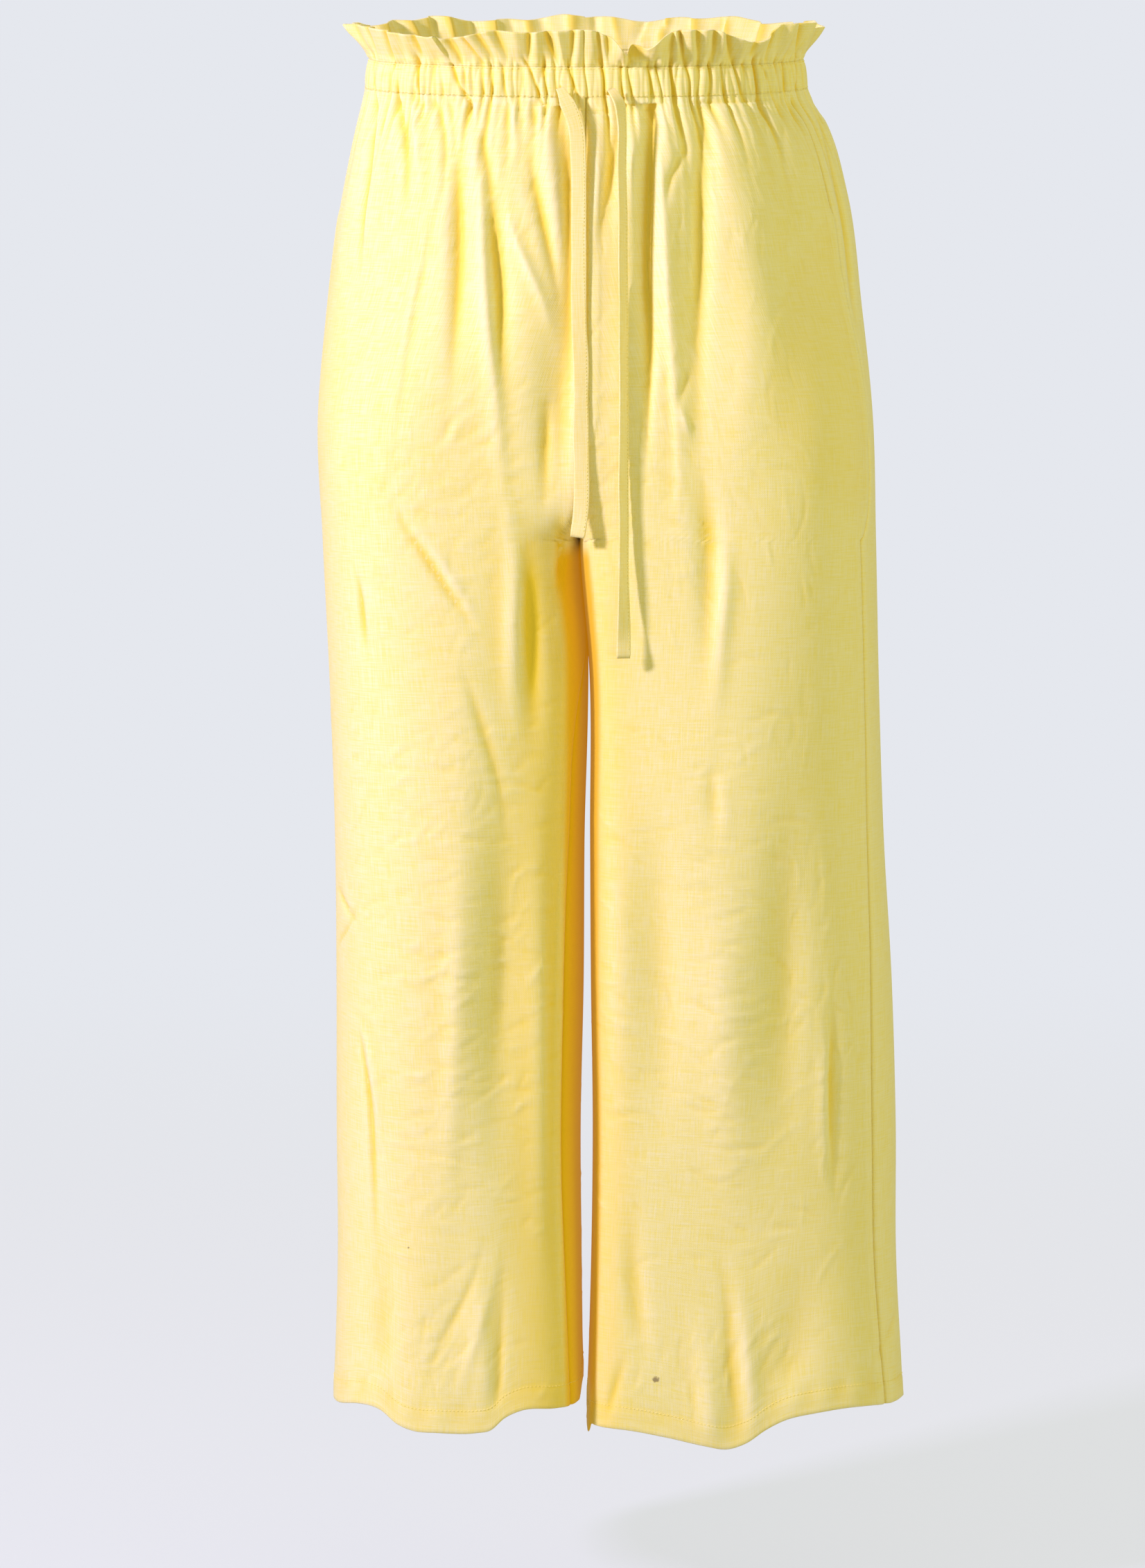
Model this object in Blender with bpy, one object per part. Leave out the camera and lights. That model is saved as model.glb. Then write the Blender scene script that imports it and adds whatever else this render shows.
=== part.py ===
"""Straight-leg linen trousers with a paperbag waist, in the form they keep while they are worn.

Metres, +Z up. The front faces -Y and +X is the wearer's left. The origin is the centre of the
ring of the waist casing, where the hips hold the trousers.

Each half of the trousers is a closed outline at every height. Above the crotch it is half of an
oval trunk, from the centre front seam round the side to the centre back seam. Below the crotch
it is a whole leg, from its inner side round the leg and back to it. The ends of the half oval
come together along the crotch curve. A place on an outline is told by its share of the outline's
length, 0 at the front end and 1 at the back end.
"""

import math

import bpy
import numpy as np

NAME = "straight_leg_trousers"

# Cloth
WALL = 0.0015  # one panel's cloth, measured level
FOLDED_WALL = 0.0024  # casing and ruffle, folded double
SEAM_GAP = 0.0003  # between pieces that are sewn together

# Waist
CASING_HEIGHT = 0.0195
RUFFLE_HEIGHT = 0.0230
RUFFLE_FLARE = 0.0085  # how far the ruffle's top edge leans out
RUFFLE_CURL = 1.4  # 1 leans out straight, more curls out towards the top
RUFFLE_WAVE = 0.0045
WAIST_SLOPE = 0.154  # fall of the waist towards the front, per metre
GATHERS = 26  # the main ones, all round
GATHER_WANDER = ((3, 0.6, 1.1), (5, 2.0, 0.8))  # waves a turn, phase and size of their uneven pace
GATHER_DEPTH = 0.0015  # on the casing
BODY_GATHER_DEPTH = 0.0030  # just below the casing
GATHER_REACH = 0.070  # below the casing, where they have faded to a third

# Crotch
LEG_SHAPE_START_Z = -0.120
CURVE_START_Z = -0.225
CROTCH_Z = -0.315
HELD_END_Z = -0.400  # the legs' inner sides stay flattened to here
FREED_BY = 0.65  # radians from the centre seams at which the trunk's flat side is left
HEM_Z = -0.925
HEM_WAVE_START_Z = -0.700
HEM_BLEND = 0.030  # in front of and behind the leg's middle, where the hem's two lines blend

# Folds fade out where the cloth turns to the side: its outward way's y, at none and at full depth
FOLD_FACING = (0.05, 0.50)

# Flat drawstring
TIE_WIDTH = 0.0100
TIE_THICK = 0.0014

PANEL_COLUMNS = 21
RING_COLUMNS = 104
OUTLINE_LENGTH = 0.55  # of one half, near enough to turn a seam's gap into a share

# Heights of a panel's rows below its top one: close at the gathers and round the crotch curve
TRUNK_ROWS = (-0.028, -0.052, -0.086, -0.128, -0.176, CURVE_START_Z)
CURVE_ROWS = (28.0, 50.0, 70.0, 90.0)  # degrees round the crotch curve
LEG_ROWS = (-0.337, -0.380, -0.445, -0.525, -0.615, -0.705, -0.785, -0.860, HEM_Z)
TRUNK_BOXINESS = 2.15  # 2 is an ellipse, more is squarer
LOW_TRUNK_BOXINESS = 3.40  # where the trunk turns into legs
LEG_BOXINESS = 2.45
# At the front of the legs' inner sides, where the cloth falls flat
CORNER_BOXINESS = {"left": 8.0, "right": 4.5}
END_SOFTNESS = 0.15  # radians over which the narrowing stretch hands over to the curve's end
OUTLINE_STEPS = 360

# The outline by height: where it reaches to the side (out) and towards the other leg (in),
# and how far it stands in front of and behind the middle, for the left and the right half.
FORM_COLUMNS = (
    "z", "left_out", "right_out", "left_in", "right_in",
    "left_front", "right_front", "left_back", "right_back",
)
FORM = (
    (0.010, 0.1483, 0.1473, 0.0000, 0.0000, 0.1050, 0.1050, 0.1050, 0.1050),
    (-0.010, 0.1512, 0.1500, 0.0000, 0.0000, 0.1075, 0.1075, 0.1080, 0.1080),
    (-0.035, 0.1650, 0.1560, 0.0000, 0.0000, 0.1150, 0.1150, 0.1190, 0.1190),
    (-0.080, 0.1785, 0.1651, 0.0000, 0.0000, 0.1220, 0.1220, 0.1330, 0.1330),
    (-0.160, 0.1890, 0.1757, 0.0000, 0.0000, 0.1275, 0.1275, 0.1470, 0.1470),
    (-0.235, 0.1962, 0.1822, -0.0010, 0.0010, 0.1280, 0.1280, 0.1490, 0.1490),
    (-0.315, 0.1990, 0.1797, -0.0039, 0.0041, 0.1245, 0.1250, 0.1410, 0.1410),
    (-0.410, 0.2018, 0.1757, 0.0032, -0.0018, 0.1160, 0.1190, 0.1270, 0.1290),
    (-0.520, 0.2063, 0.1726, 0.0036, 0.0002, 0.1060, 0.1120, 0.1140, 0.1190),
    (-0.620, 0.2128, 0.1723, 0.0042, 0.0008, 0.0980, 0.1060, 0.1030, 0.1110),
    (-0.720, 0.2166, 0.1729, 0.0055, 0.0028, 0.0900, 0.1010, 0.0940, 0.1050),
    (-0.820, 0.2178, 0.1728, 0.0044, 0.0022, 0.0830, 0.0970, 0.0870, 0.1010),
    (-0.925, 0.2238, 0.1762, 0.0014, 0.0012, 0.0780, 0.0945, 0.0830, 0.0980),
)

# Where the seams run, as shares of the outline, and how steeply the rows fall to the front.
SEAM_COLUMNS = ("z", "left_outseam", "right_outseam", "left_inseam", "right_inseam", "slope")
SEAMS = (
    (0.010, 0.372, 0.490, 0.000, 0.000, WAIST_SLOPE),
    (-0.011, 0.372, 0.490, 0.000, 0.000, WAIST_SLOPE),
    (-0.035, 0.372, 0.490, 0.000, 0.000, 0.130),
    (-0.080, 0.372, 0.490, 0.000, 0.000, 0.085),
    (-0.160, 0.372, 0.490, 0.000, 0.000, 0.030),
    (-0.235, 0.375, 0.493, 0.000, 0.000, 0.000),
    (-0.315, 0.395, 0.505, 0.000, 0.000, 0.000),
    (-0.410, 0.405, 0.520, 0.018, 0.119, 0.000),
    (-0.520, 0.410, 0.525, 0.022, 0.140, 0.000),
    (-0.720, 0.412, 0.525, 0.024, 0.143, 0.000),
    (-0.925, 0.430, 0.520, 0.024, 0.125, 0.000),
)

# The largest folds, as seen from in front or from behind. Each runs from x_top at z_top
# through x_mid to x_low at z_low, is deepest at the share peak of its length, and sinks in
# where depth is negative.
FOLD_COLUMNS = ("z_top", "z_low", "x_top", "x_mid", "x_low", "width", "depth", "peak")
FRONT_FOLDS = (
    (-0.030, -0.330, -0.0124, -0.0150, -0.0140, 0.014, -0.0080, 0.45),
    (-0.015, -0.240, -0.1010, -0.0828, -0.0882, 0.013, -0.0070, 0.45),
    (-0.015, -0.165, -0.1394, -0.1486, -0.1490, 0.009, -0.0040, 0.30),
    (-0.028, -0.465, -0.0722, -0.0594, -0.0425, 0.016, 0.0060, 0.55),
    (-0.090, -0.260, -0.0540, -0.0300, -0.0230, 0.010, 0.0040, 0.50),
    (-0.020, -0.300, 0.0457, 0.0420, 0.0388, 0.012, -0.0080, 0.35),
    (-0.015, -0.420, 0.0786, 0.0736, 0.0800, 0.014, -0.0060, 0.35),
    (-0.025, -0.190, 0.1530, 0.1740, 0.1796, 0.010, -0.0035, 0.45),
    (-0.045, -0.350, 0.0512, 0.0562, 0.0589, 0.011, 0.0050, 0.45),
    (-0.030, -0.245, 0.0969, 0.0980, 0.0969, 0.020, 0.0045, 0.50),
    (-0.280, -0.500, 0.0877, 0.0913, 0.0884, 0.014, 0.0040, 0.50),
    (-0.600, -0.790, 0.1650, 0.1635, 0.1665, 0.012, -0.0050, 0.50),
    (-0.780, -0.990, 0.0860, 0.0960, 0.1030, 0.013, 0.0080, 0.65),
    (-0.750, -0.980, 0.1480, 0.1500, 0.1560, 0.018, -0.0060, 0.70),
    (-0.770, -0.900, 0.0305, 0.0340, 0.0416, 0.012, -0.0050, 0.55),
    (-0.600, -0.850, -0.1640, -0.1560, -0.1380, 0.013, -0.0050, 0.45),
    (-0.460, -0.800, -0.0560, -0.0570, -0.0580, 0.018, -0.0060, 0.50),
    (-0.770, -0.980, -0.0690, -0.0950, -0.1080, 0.015, 0.0065, 0.65),
    (-0.820, -0.990, -0.1480, -0.1440, -0.1400, 0.014, -0.0050, 0.70),
)
BACK_FOLDS = (
    (-0.015, -0.280, -0.0080, -0.0120, -0.0130, 0.014, -0.0070, 0.35),
    (-0.015, -0.250, 0.0420, 0.0460, 0.0400, 0.013, -0.0060, 0.35),
    (-0.015, -0.210, -0.0580, -0.0650, -0.0700, 0.013, -0.0060, 0.35),
    (-0.015, -0.180, 0.0960, 0.1100, 0.1180, 0.012, -0.0050, 0.35),
    (-0.015, -0.170, -0.1130, -0.1250, -0.1320, 0.011, -0.0045, 0.35),
    (-0.240, -0.700, 0.0950, 0.0900, 0.1000, 0.020, 0.0060, 0.40),
    (-0.240, -0.640, -0.0800, -0.0860, -0.0760, 0.020, 0.0060, 0.40),
    (-0.520, -0.990, 0.1480, 0.1550, 0.1600, 0.017, -0.0060, 0.60),
    (-0.560, -0.990, 0.0560, 0.0500, 0.0460, 0.016, -0.0060, 0.65),
    (-0.500, -0.990, -0.1180, -0.1240, -0.1300, 0.016, -0.0060, 0.60),
    (-0.620, -0.990, -0.0420, -0.0460, -0.0500, 0.014, -0.0055, 0.65),
)

# How far each hem hangs above (+) or below (-) its level, by x, in front and behind.
HEM_COLUMNS = ("x", "front", "back")
HEM = (
    (-0.1762, 0.010, 0.006),
    (-0.1560, 0.019, 0.004),
    (-0.1400, 0.018, 0.002),
    (-0.1290, 0.010, 0.001),
    (-0.1180, 0.006, 0.000),
    (-0.1010, 0.005, -0.002),
    (-0.0740, 0.005, 0.001),
    (-0.0640, 0.007, 0.002),
    (-0.0550, 0.015, 0.003),
    (-0.0440, 0.020, 0.005),
    (-0.0200, 0.020, 0.010),
    (-0.0040, 0.019, 0.011),
    (-0.0004, 0.019, 0.011),
    (0.0004, 0.003, 0.004),
    (0.0040, 0.003, 0.004),
    (0.0280, 0.002, 0.002),
    (0.0560, -0.003, 0.000),
    (0.0830, -0.009, -0.003),
    (0.0980, -0.011, -0.003),
    (0.1100, -0.007, -0.002),
    (0.1230, 0.002, -0.001),
    (0.1370, 0.009, 0.001),
    (0.1570, 0.013, 0.003),
    (0.1800, 0.015, 0.003),
    (0.2238, 0.011, 0.002),
)

# Dips in the ruffle's top edge: angle round the waist (front is -90), width and depth.
DIP_COLUMNS = ("degrees", "width_degrees", "depth")
RUFFLE_DIPS = (
    (-79.0, 6.0, 0.0140),
    (-121.0, 8.0, 0.0035),
    (-47.0, 7.0, 0.0045),
    (-160.0, 9.0, 0.0040),
    (58.0, 8.0, 0.0050),
    (121.0, 7.0, 0.0060),
)

# The free ends of the drawstring, with the turn of the flat tie about the vertical. The first
# place of each is moved on to the casing's face.
TIE_COLUMNS = ("x", "y", "z", "turn_degrees")
RIGHT_TIE = (
    (-0.0168, -0.1120, -0.0205, 0.0),
    (-0.0120, -0.1172, -0.0310, 5.0),
    (-0.0074, -0.1205, -0.0428, 5.0),
    (-0.0051, -0.1245, -0.0676, 0.0),
    (-0.0047, -0.1290, -0.1342, -4.0),
    (-0.0033, -0.1300, -0.1967, 4.0),
    (-0.0024, -0.1300, -0.2595, 2.0),
    (-0.0033, -0.1295, -0.2978, -6.0),
    (-0.0051, -0.1290, -0.3118, -12.0),
)
LEFT_TIE = (
    (0.0163, -0.1120, -0.0215, 0.0),
    (0.0212, -0.1180, -0.0300, 40.0),
    (0.0230, -0.1215, -0.0420, 52.0),
    (0.0236, -0.1250, -0.0702, 55.0),
    (0.0241, -0.1300, -0.1333, 52.0),
    (0.0246, -0.1315, -0.2056, 56.0),
    (0.0247, -0.1315, -0.2775, 52.0),
    (0.0248, -0.1315, -0.3589, 40.0),
    (0.0249, -0.1315, -0.3907, 12.0),
)
TIE_POINTS = 26

# In-seam pocket bags, behind the front panels
POCKET_ROWS = (3, 10)  # rows of the panel from the bag's top to its bottom
POCKET_COLUMNS = 9  # columns of the panel that it covers, up to the outseam
POCKET_MISSING = ((0, 0, 4), (1, 0, 1), (5, 0, 3), (5, 7, 9))  # row, first and last column + 1

# name: colour, roughness
FINISHES = {
    "cloth": ((0.93, 0.76, 0.26), 0.82),
    "folded_cloth": ((0.95, 0.79, 0.30), 0.80),
    "pocket_cloth": ((0.86, 0.66, 0.20), 0.85),
    "tie": ((0.95, 0.80, 0.32), 0.78),
}


def smooth_step(value):
    """Rises from 0 to 1 as value does, level at both ends."""
    value = np.clip(value, 0.0, 1.0)
    return value * value * (3.0 - 2.0 * value)


def through(at, knots, values):
    """A smooth curve through the table's values: a cubic between each two knots, whose slope at
    a knot is the mean slope of its neighbours. The knots may rise or fall."""
    knots, values = np.asarray(knots, float), np.asarray(values, float)
    if knots[0] > knots[-1]:
        knots, values = knots[::-1], values[::-1]
    slopes = np.gradient(values, knots, axis=0)
    at = np.clip(np.asarray(at, float), knots[0], knots[-1])
    low = np.clip(np.searchsorted(knots, at, side="right") - 1, 0, len(knots) - 2)
    span = knots[low + 1] - knots[low]
    s = (at - knots[low]) / span
    if values.ndim > 1:
        s, span = s[..., None], span[..., None]
    return (
        values[low] * (1 + 2 * s) * (1 - s) ** 2
        + values[low + 1] * s**2 * (3 - 2 * s)
        + slopes[low] * span * s * (1 - s) ** 2
        - slopes[low + 1] * span * s**2 * (1 - s)
    )


def column(table, columns, name):
    """One named column of a table, as an array."""
    return np.array([row[columns.index(name)] for row in table])


def form(name, z):
    """A size of the outline at height z."""
    return through(z, column(FORM, FORM_COLUMNS, "z"), column(FORM, FORM_COLUMNS, name))


def seam(name, z):
    """A seam's share of the outline, or the rows' slope, at height z."""
    return through(z, column(SEAMS, SEAM_COLUMNS, "z"), column(SEAMS, SEAM_COLUMNS, name))


def rounded(angle, boxiness):
    """The distance from the middle to a unit oval of the given boxiness, at an angle."""
    power = np.abs(np.cos(angle)) ** boxiness + np.abs(np.sin(angle)) ** boxiness
    return power ** (-1.0 / boxiness)


def along(points):
    """The share of its length that a line of points has covered at each of them."""
    steps = np.linalg.norm(np.diff(points, axis=0), axis=1)
    covered = np.concatenate([[0.0], np.cumsum(steps)])
    return covered / covered[-1]


def oval(angle, half_width, front, back, boxiness):
    """Level points of an oval about the origin. Angle 0 points to the other half, a quarter
    turn to the front, and half a turn to the outer side."""
    reach = rounded(angle, boxiness)
    depth = np.where(np.sin(angle) > 0.0, front, back)
    return np.stack([-half_width * reach * np.cos(angle), -depth * reach * np.sin(angle)], axis=1)


def outline(side, z, shares):
    """Level points (across, y) of one half at height z, and the way they face. Across is
    positive away from the other half.

    Both shapes of a half are told by their reach in each direction from the leg's middle: the
    leg is an oval, and the trunk is half an oval with a flat side at the centre seams. Down the
    trunk the leg's reach takes over, but less so near the ends of the outline, which stay on the
    flat side. The ends follow the crotch curve, a quarter of an oval."""
    out, inner = form(f"{side}_out", z), form(f"{side}_in", z)
    front, back = form(f"{side}_front", z), form(f"{side}_back", z)
    middle, half_width = (out + inner) / 2, (out - inner) / 2
    likeness = smooth_step((LEG_SHAPE_START_Z - z) / (LEG_SHAPE_START_Z - CROTCH_Z))

    boxiness = TRUNK_BOXINESS + (LOW_TRUNK_BOXINESS - TRUNK_BOXINESS) * likeness
    trunk = oval(np.linspace(0.5, 1.5, OUTLINE_STEPS) * math.pi, out - inner, front, back, boxiness)
    flat_side = np.linspace(-back, front, OUTLINE_STEPS // 2)[1:-1]
    trunk = np.concatenate([trunk, np.column_stack([0 * flat_side, -flat_side])])
    trunk[:, 0] -= half_width
    trunk_angle = np.arctan2(-trunk[:, 1], -trunk[:, 0]) % (2 * math.pi)
    order = np.argsort(trunk_angle)

    down = np.clip((CURVE_START_Z - z) / (CURVE_START_Z - CROTCH_Z), 0.0, 1.0)
    ends = (1.0 - down * down) ** 0.5
    first = math.atan2(front * ends, half_width)
    last = 2 * math.pi - math.atan2(back * ends, half_width)
    angle = np.linspace(first, last, OUTLINE_STEPS + 1)
    trunk_reach = np.interp(
        angle, trunk_angle[order], np.linalg.norm(trunk, axis=1)[order], period=2 * math.pi
    )
    # A direction's angle on the oval differs from its angle seen from the middle.
    leg_angle = np.linspace(0.0, 2 * math.pi, 4 * OUTLINE_STEPS + 1)
    at_corner = leg_angle % (2 * math.pi) < math.pi / 2
    leg = oval(leg_angle, half_width, front, back, np.where(at_corner, CORNER_BOXINESS[side], LEG_BOXINESS))
    seen_angle = np.unwrap(np.arctan2(-leg[:, 1], -leg[:, 0]))
    leg_reach = np.interp(angle, seen_angle, np.linalg.norm(leg, axis=1))
    # The stretch near each end narrows steadily, although the end itself turns in at a curve.
    narrowing = 1.0 - smooth_step((CURVE_START_Z - z) / (CURVE_START_Z - HELD_END_Z))
    to_end = []
    for end, depth, from_end in (
        (first, front, angle), (2 * math.pi - last, back, 2 * math.pi - angle)
    ):
        steady = math.atan2(depth, half_width) * narrowing
        flat_to = (end + steady + math.hypot(end - steady, END_SOFTNESS)) / 2
        to_end.append((from_end - flat_to) / FREED_BY)
    free = smooth_step(np.minimum(*to_end))
    held = smooth_step((CROTCH_Z - z) / (CROTCH_Z - HELD_END_Z))
    leg_share = likeness * (free + (1.0 - free) * held)
    reach = trunk_reach + (leg_reach - trunk_reach) * leg_share
    points = np.stack([middle - reach * np.cos(angle), -reach * np.sin(angle)], axis=1)

    covered = along(points)
    wrapped = np.where((shares > 1.0) & (z < CROTCH_Z), shares - 1.0, shares)
    step = 1.0 / OUTLINE_STEPS
    places, ahead, behind = (
        np.stack([np.interp(at, covered, points[:, k]) for k in (0, 1)], axis=1)
        for at in (wrapped, np.clip(wrapped + step, 0, 1), np.clip(wrapped - step, 0, 1))
    )
    way = ahead - behind
    way /= np.linalg.norm(way, axis=1, keepdims=True)
    return places, np.stack([way[:, 1], -way[:, 0]], axis=1)


def gather(angle):
    """Uneven gathers round the waist, between -1 and 1: a wave whose pace and height wander."""
    pace = GATHERS * angle + sum(size * np.sin(n * angle + at) for n, at, size in GATHER_WANDER)
    return np.sin(pace) * (0.75 + 0.25 * np.sin(4 * angle + 1.0))


def folds(table, x, z):
    """The sum of a table's folds: each a bell across, along a parabola through three places."""
    total = np.zeros_like(x)
    for row in table:
        fold = dict(zip(FOLD_COLUMNS, row))
        down = np.clip((fold["z_top"] - z) / (fold["z_top"] - fold["z_low"]), 0.0, 1.0)
        middle = (
            fold["x_top"] * (1 - down) * (1 - 2 * down)
            + fold["x_mid"] * 4 * down * (1 - down)
            + fold["x_low"] * down * (2 * down - 1)
        )
        rise = np.sin(math.pi * down ** (math.log(0.5) / math.log(fold["peak"])))
        across = (x - middle) / fold["width"]
        total += fold["depth"] * rise * np.exp(-across * across)
    return total


def cloth(side, shares, z):
    """Points on the outside of one half's cloth, one row for each height, and the way to move
    them out: level across the cloth, and along the slope of their row."""
    sign = 1.0 if side == "left" else -1.0
    points, normals = [], []
    for row_shares, height in zip(shares, z):
        flat, facing = outline(side, height, row_shares)
        x, y = sign * (flat[:, 0] + SEAM_GAP / 2), flat[:, 1]
        none, full = FOLD_FACING
        seen = smooth_step((np.abs(facing[:, 1]) - none) / (full - none))
        heights = np.full_like(x, height)
        depth = np.where(
            facing[:, 1] < 0, folds(FRONT_FOLDS, x, heights), folds(BACK_FOLDS, x, heights)
        )
        below = -CASING_HEIGHT / 2 - height
        fading = math.exp(-((below / GATHER_REACH) ** 2))
        depth = depth * seen + BODY_GATHER_DEPTH * fading * gather(np.arctan2(y, x))
        hem_share = smooth_step((HEM_WAVE_START_Z - height) / (HEM_WAVE_START_Z - HEM_Z))
        front_hem = through(x, column(HEM, HEM_COLUMNS, "x"), column(HEM, HEM_COLUMNS, "front"))
        back_hem = through(x, column(HEM, HEM_COLUMNS, "x"), column(HEM, HEM_COLUMNS, "back"))
        hem = front_hem + (back_hem - front_hem) * smooth_step(0.5 + y / (2 * HEM_BLEND))
        facing = np.stack([sign * facing[:, 0], facing[:, 1]], axis=1)
        level = np.stack([x, y], axis=1) + facing * depth[:, None]
        slope = float(seam("slope", height))
        heights = heights + slope * level[:, 1] + hem_share * hem
        points.append(np.column_stack([level, heights]))
        normals.append(np.column_stack([facing, slope * facing[:, 1]]))
    return np.array(points), np.array(normals)


def panel_heights():
    """Heights of a panel's rows, from just under the casing to the hem."""
    top = -CASING_HEIGHT / 2 - SEAM_GAP
    drop = CURVE_START_Z - CROTCH_Z
    curve = [CURVE_START_Z - drop * math.sin(math.radians(turned)) for turned in CURVE_ROWS]
    return [top, *TRUNK_ROWS, *curve, *LEG_ROWS]


def panel_shares(side, piece, heights):
    """The shares of the outline at a panel's columns, for each of its rows."""
    half_gap = SEAM_GAP / 2 / OUTLINE_LENGTH
    rows = []
    for z in heights:
        inseam = float(seam(f"{side}_inseam", z)) if z < CROTCH_Z else 0.0
        outseam = float(seam(f"{side}_outseam", z))
        ends = (inseam + half_gap, outseam - half_gap)
        if piece == "back":
            ends = (outseam + half_gap, 1.0 + inseam - half_gap)
        rows.append(np.linspace(*ends, PANEL_COLUMNS + 1))
    return rows


def walled(outer, inner, ring=False, turned=False, kept=None):
    """Vertices and triangles of a closed wall between two like grids of points. A ring joins its
    last column to its first. kept says which of the grid's cells are there."""
    rows, columns = outer.shape[:2]
    cells = np.ones((rows - 1, columns if ring else columns - 1), bool) if kept is None else kept
    size = rows * columns
    faces = []
    edges = {}

    def add(a, b, c, d):
        faces.extend([(a, b, c), (a, c, d)] if not turned else [(a, c, b), (a, d, c)])

    for r, c in zip(*np.nonzero(cells)):
        right = (c + 1) % columns
        a, b = r * columns + c, r * columns + right
        d, e = (r + 1) * columns + c, (r + 1) * columns + right
        add(a, d, e, b)
        faces.extend(
            [(a + size, e + size, d + size), (a + size, b + size, e + size)]
            if not turned
            else [(a + size, d + size, e + size), (a + size, e + size, b + size)]
        )
        for p, q in ((a, d), (d, e), (e, b), (b, a)):
            if (q, p) in edges:
                del edges[(q, p)]
            else:
                edges[(p, q)] = True
    for p, q in edges:
        add(q, p, p + size, q + size)
    used = np.unique(np.array(faces))
    renumbered = np.zeros(2 * size, int)
    renumbered[used] = np.arange(len(used))
    points = np.concatenate([outer.reshape(-1, 3), inner.reshape(-1, 3)])[used]
    return points, renumbered[np.array(faces)]


def add_piece(name, finish, points, faces):
    """An object of the given mesh, with its own material, in the trousers' collection."""
    mesh = bpy.data.meshes.new(name)
    mesh.from_pydata(points.tolist(), [], faces.tolist())
    mesh.update()
    colour, roughness = FINISHES[finish]
    material = bpy.data.materials.new(name)
    material.use_nodes = True
    shader = material.node_tree.nodes["Principled BSDF"]
    shader.inputs["Base Color"].default_value = (*colour, 1.0)
    shader.inputs["Roughness"].default_value = roughness
    shader.inputs["Metallic"].default_value = 0.0
    mesh.materials.append(material)
    mesh.shade_smooth()
    piece = bpy.data.objects.new(name, mesh)
    bpy.data.collections[NAME].objects.link(piece)


def panels():
    """The four leg panels, and the pocket bags made from the front panels' points."""
    heights = panel_heights()
    for side in ("left", "right"):
        for piece in ("front", "back"):
            outer, facing = cloth(side, panel_shares(side, piece, heights), heights)
            turned = side == "right"
            inner = outer - WALL * facing
            add_piece(f"{piece}_{side}", "cloth", *walled(outer, inner, turned=turned))
            if piece == "front":
                pocket(side, inner, facing, turned)


def pocket(side, panel_inside, facing, turned):
    """A flat bag of two layers behind a front panel, narrower at its top and bottom."""
    rows, columns = slice(*POCKET_ROWS), slice(-POCKET_COLUMNS - 1, None)
    outer = (panel_inside - SEAM_GAP * 1.5 * facing)[rows, columns]
    inner = outer - WALL * facing[rows, columns]
    cells = np.ones((outer.shape[0] - 1, POCKET_COLUMNS), bool)
    for row, first, end in POCKET_MISSING:
        cells[row, first:end] = False
    add_piece(f"pocket_{side}", "pocket_cloth", *walled(outer, inner, turned=turned, kept=cells))


def ring_outline(z):
    """Level points all round the trunk at height z, and the way to move them out, which is
    level across the cloth and along the waist's slope."""
    angle = np.linspace(-math.pi, math.pi, RING_COLUMNS, endpoint=False)
    half_width = np.where(np.cos(angle) > 0, form("left_out", z), form("right_out", z))
    half_depth = np.where(np.sin(angle) < 0, form("left_front", z), form("left_back", z))
    reach = rounded(angle, TRUNK_BOXINESS)
    points = np.column_stack([half_width * reach * np.cos(angle), half_depth * reach * np.sin(angle)])
    way = np.roll(points, -1, axis=0) - np.roll(points, 1, axis=0)
    way /= np.linalg.norm(way, axis=1, keepdims=True)
    return points, np.column_stack([way[:, 1], -way[:, 0], -WAIST_SLOPE * way[:, 0]])


def ring_row(z, rise, lean, wave):
    """One row of a ring: the trunk's outline at z, moved out by lean and the gathers' wave, and
    raised by rise above its sloping level."""
    flat, facing = ring_outline(z)
    angle = np.arctan2(flat[:, 1], flat[:, 0])
    level = flat + facing[:, :2] * (lean + wave * gather(angle))[:, None]
    return np.column_stack([level, z + rise + WAIST_SLOPE * level[:, 1]]), facing


def casing():
    """The stitched tunnel: a gathered ring between its two stitch lines."""
    rows = [ring_row(z, 0.0, 0.0, GATHER_DEPTH) for z in (CASING_HEIGHT / 2, -CASING_HEIGHT / 2)]
    outer = np.array([points for points, _ in rows])
    facing = np.array([normals for _, normals in rows])
    rim = FOLDED_WALL * facing
    add_piece("waist_casing", "folded_cloth", *walled(outer, outer - rim, ring=True))


def ruffle():
    """The heading above the casing: it leans out, and its waves grow towards its dipped edge."""
    base = CASING_HEIGHT / 2
    flat, facing = ring_outline(base)
    angle = np.degrees(np.arctan2(flat[:, 1], flat[:, 0]))
    height = np.full(RING_COLUMNS, RUFFLE_HEIGHT)
    for row in RUFFLE_DIPS:
        dip = dict(zip(DIP_COLUMNS, row))
        apart = (angle - dip["degrees"] + 180.0) % 360.0 - 180.0
        height -= dip["depth"] * np.exp(-((apart / dip["width_degrees"]) ** 2))
    outer = []
    for share in (1.0, 0.5, 0.0):
        lean = RUFFLE_FLARE * share**RUFFLE_CURL
        wave = GATHER_DEPTH + (RUFFLE_WAVE - GATHER_DEPTH) * share
        points, _ = ring_row(base, SEAM_GAP + height * share, lean, wave)
        outer.append(points)
    outer = np.array(outer)
    inner = outer - FOLDED_WALL * facing[None]
    add_piece("waist_ruffle", "folded_cloth", *walled(outer, inner, ring=True))


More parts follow.
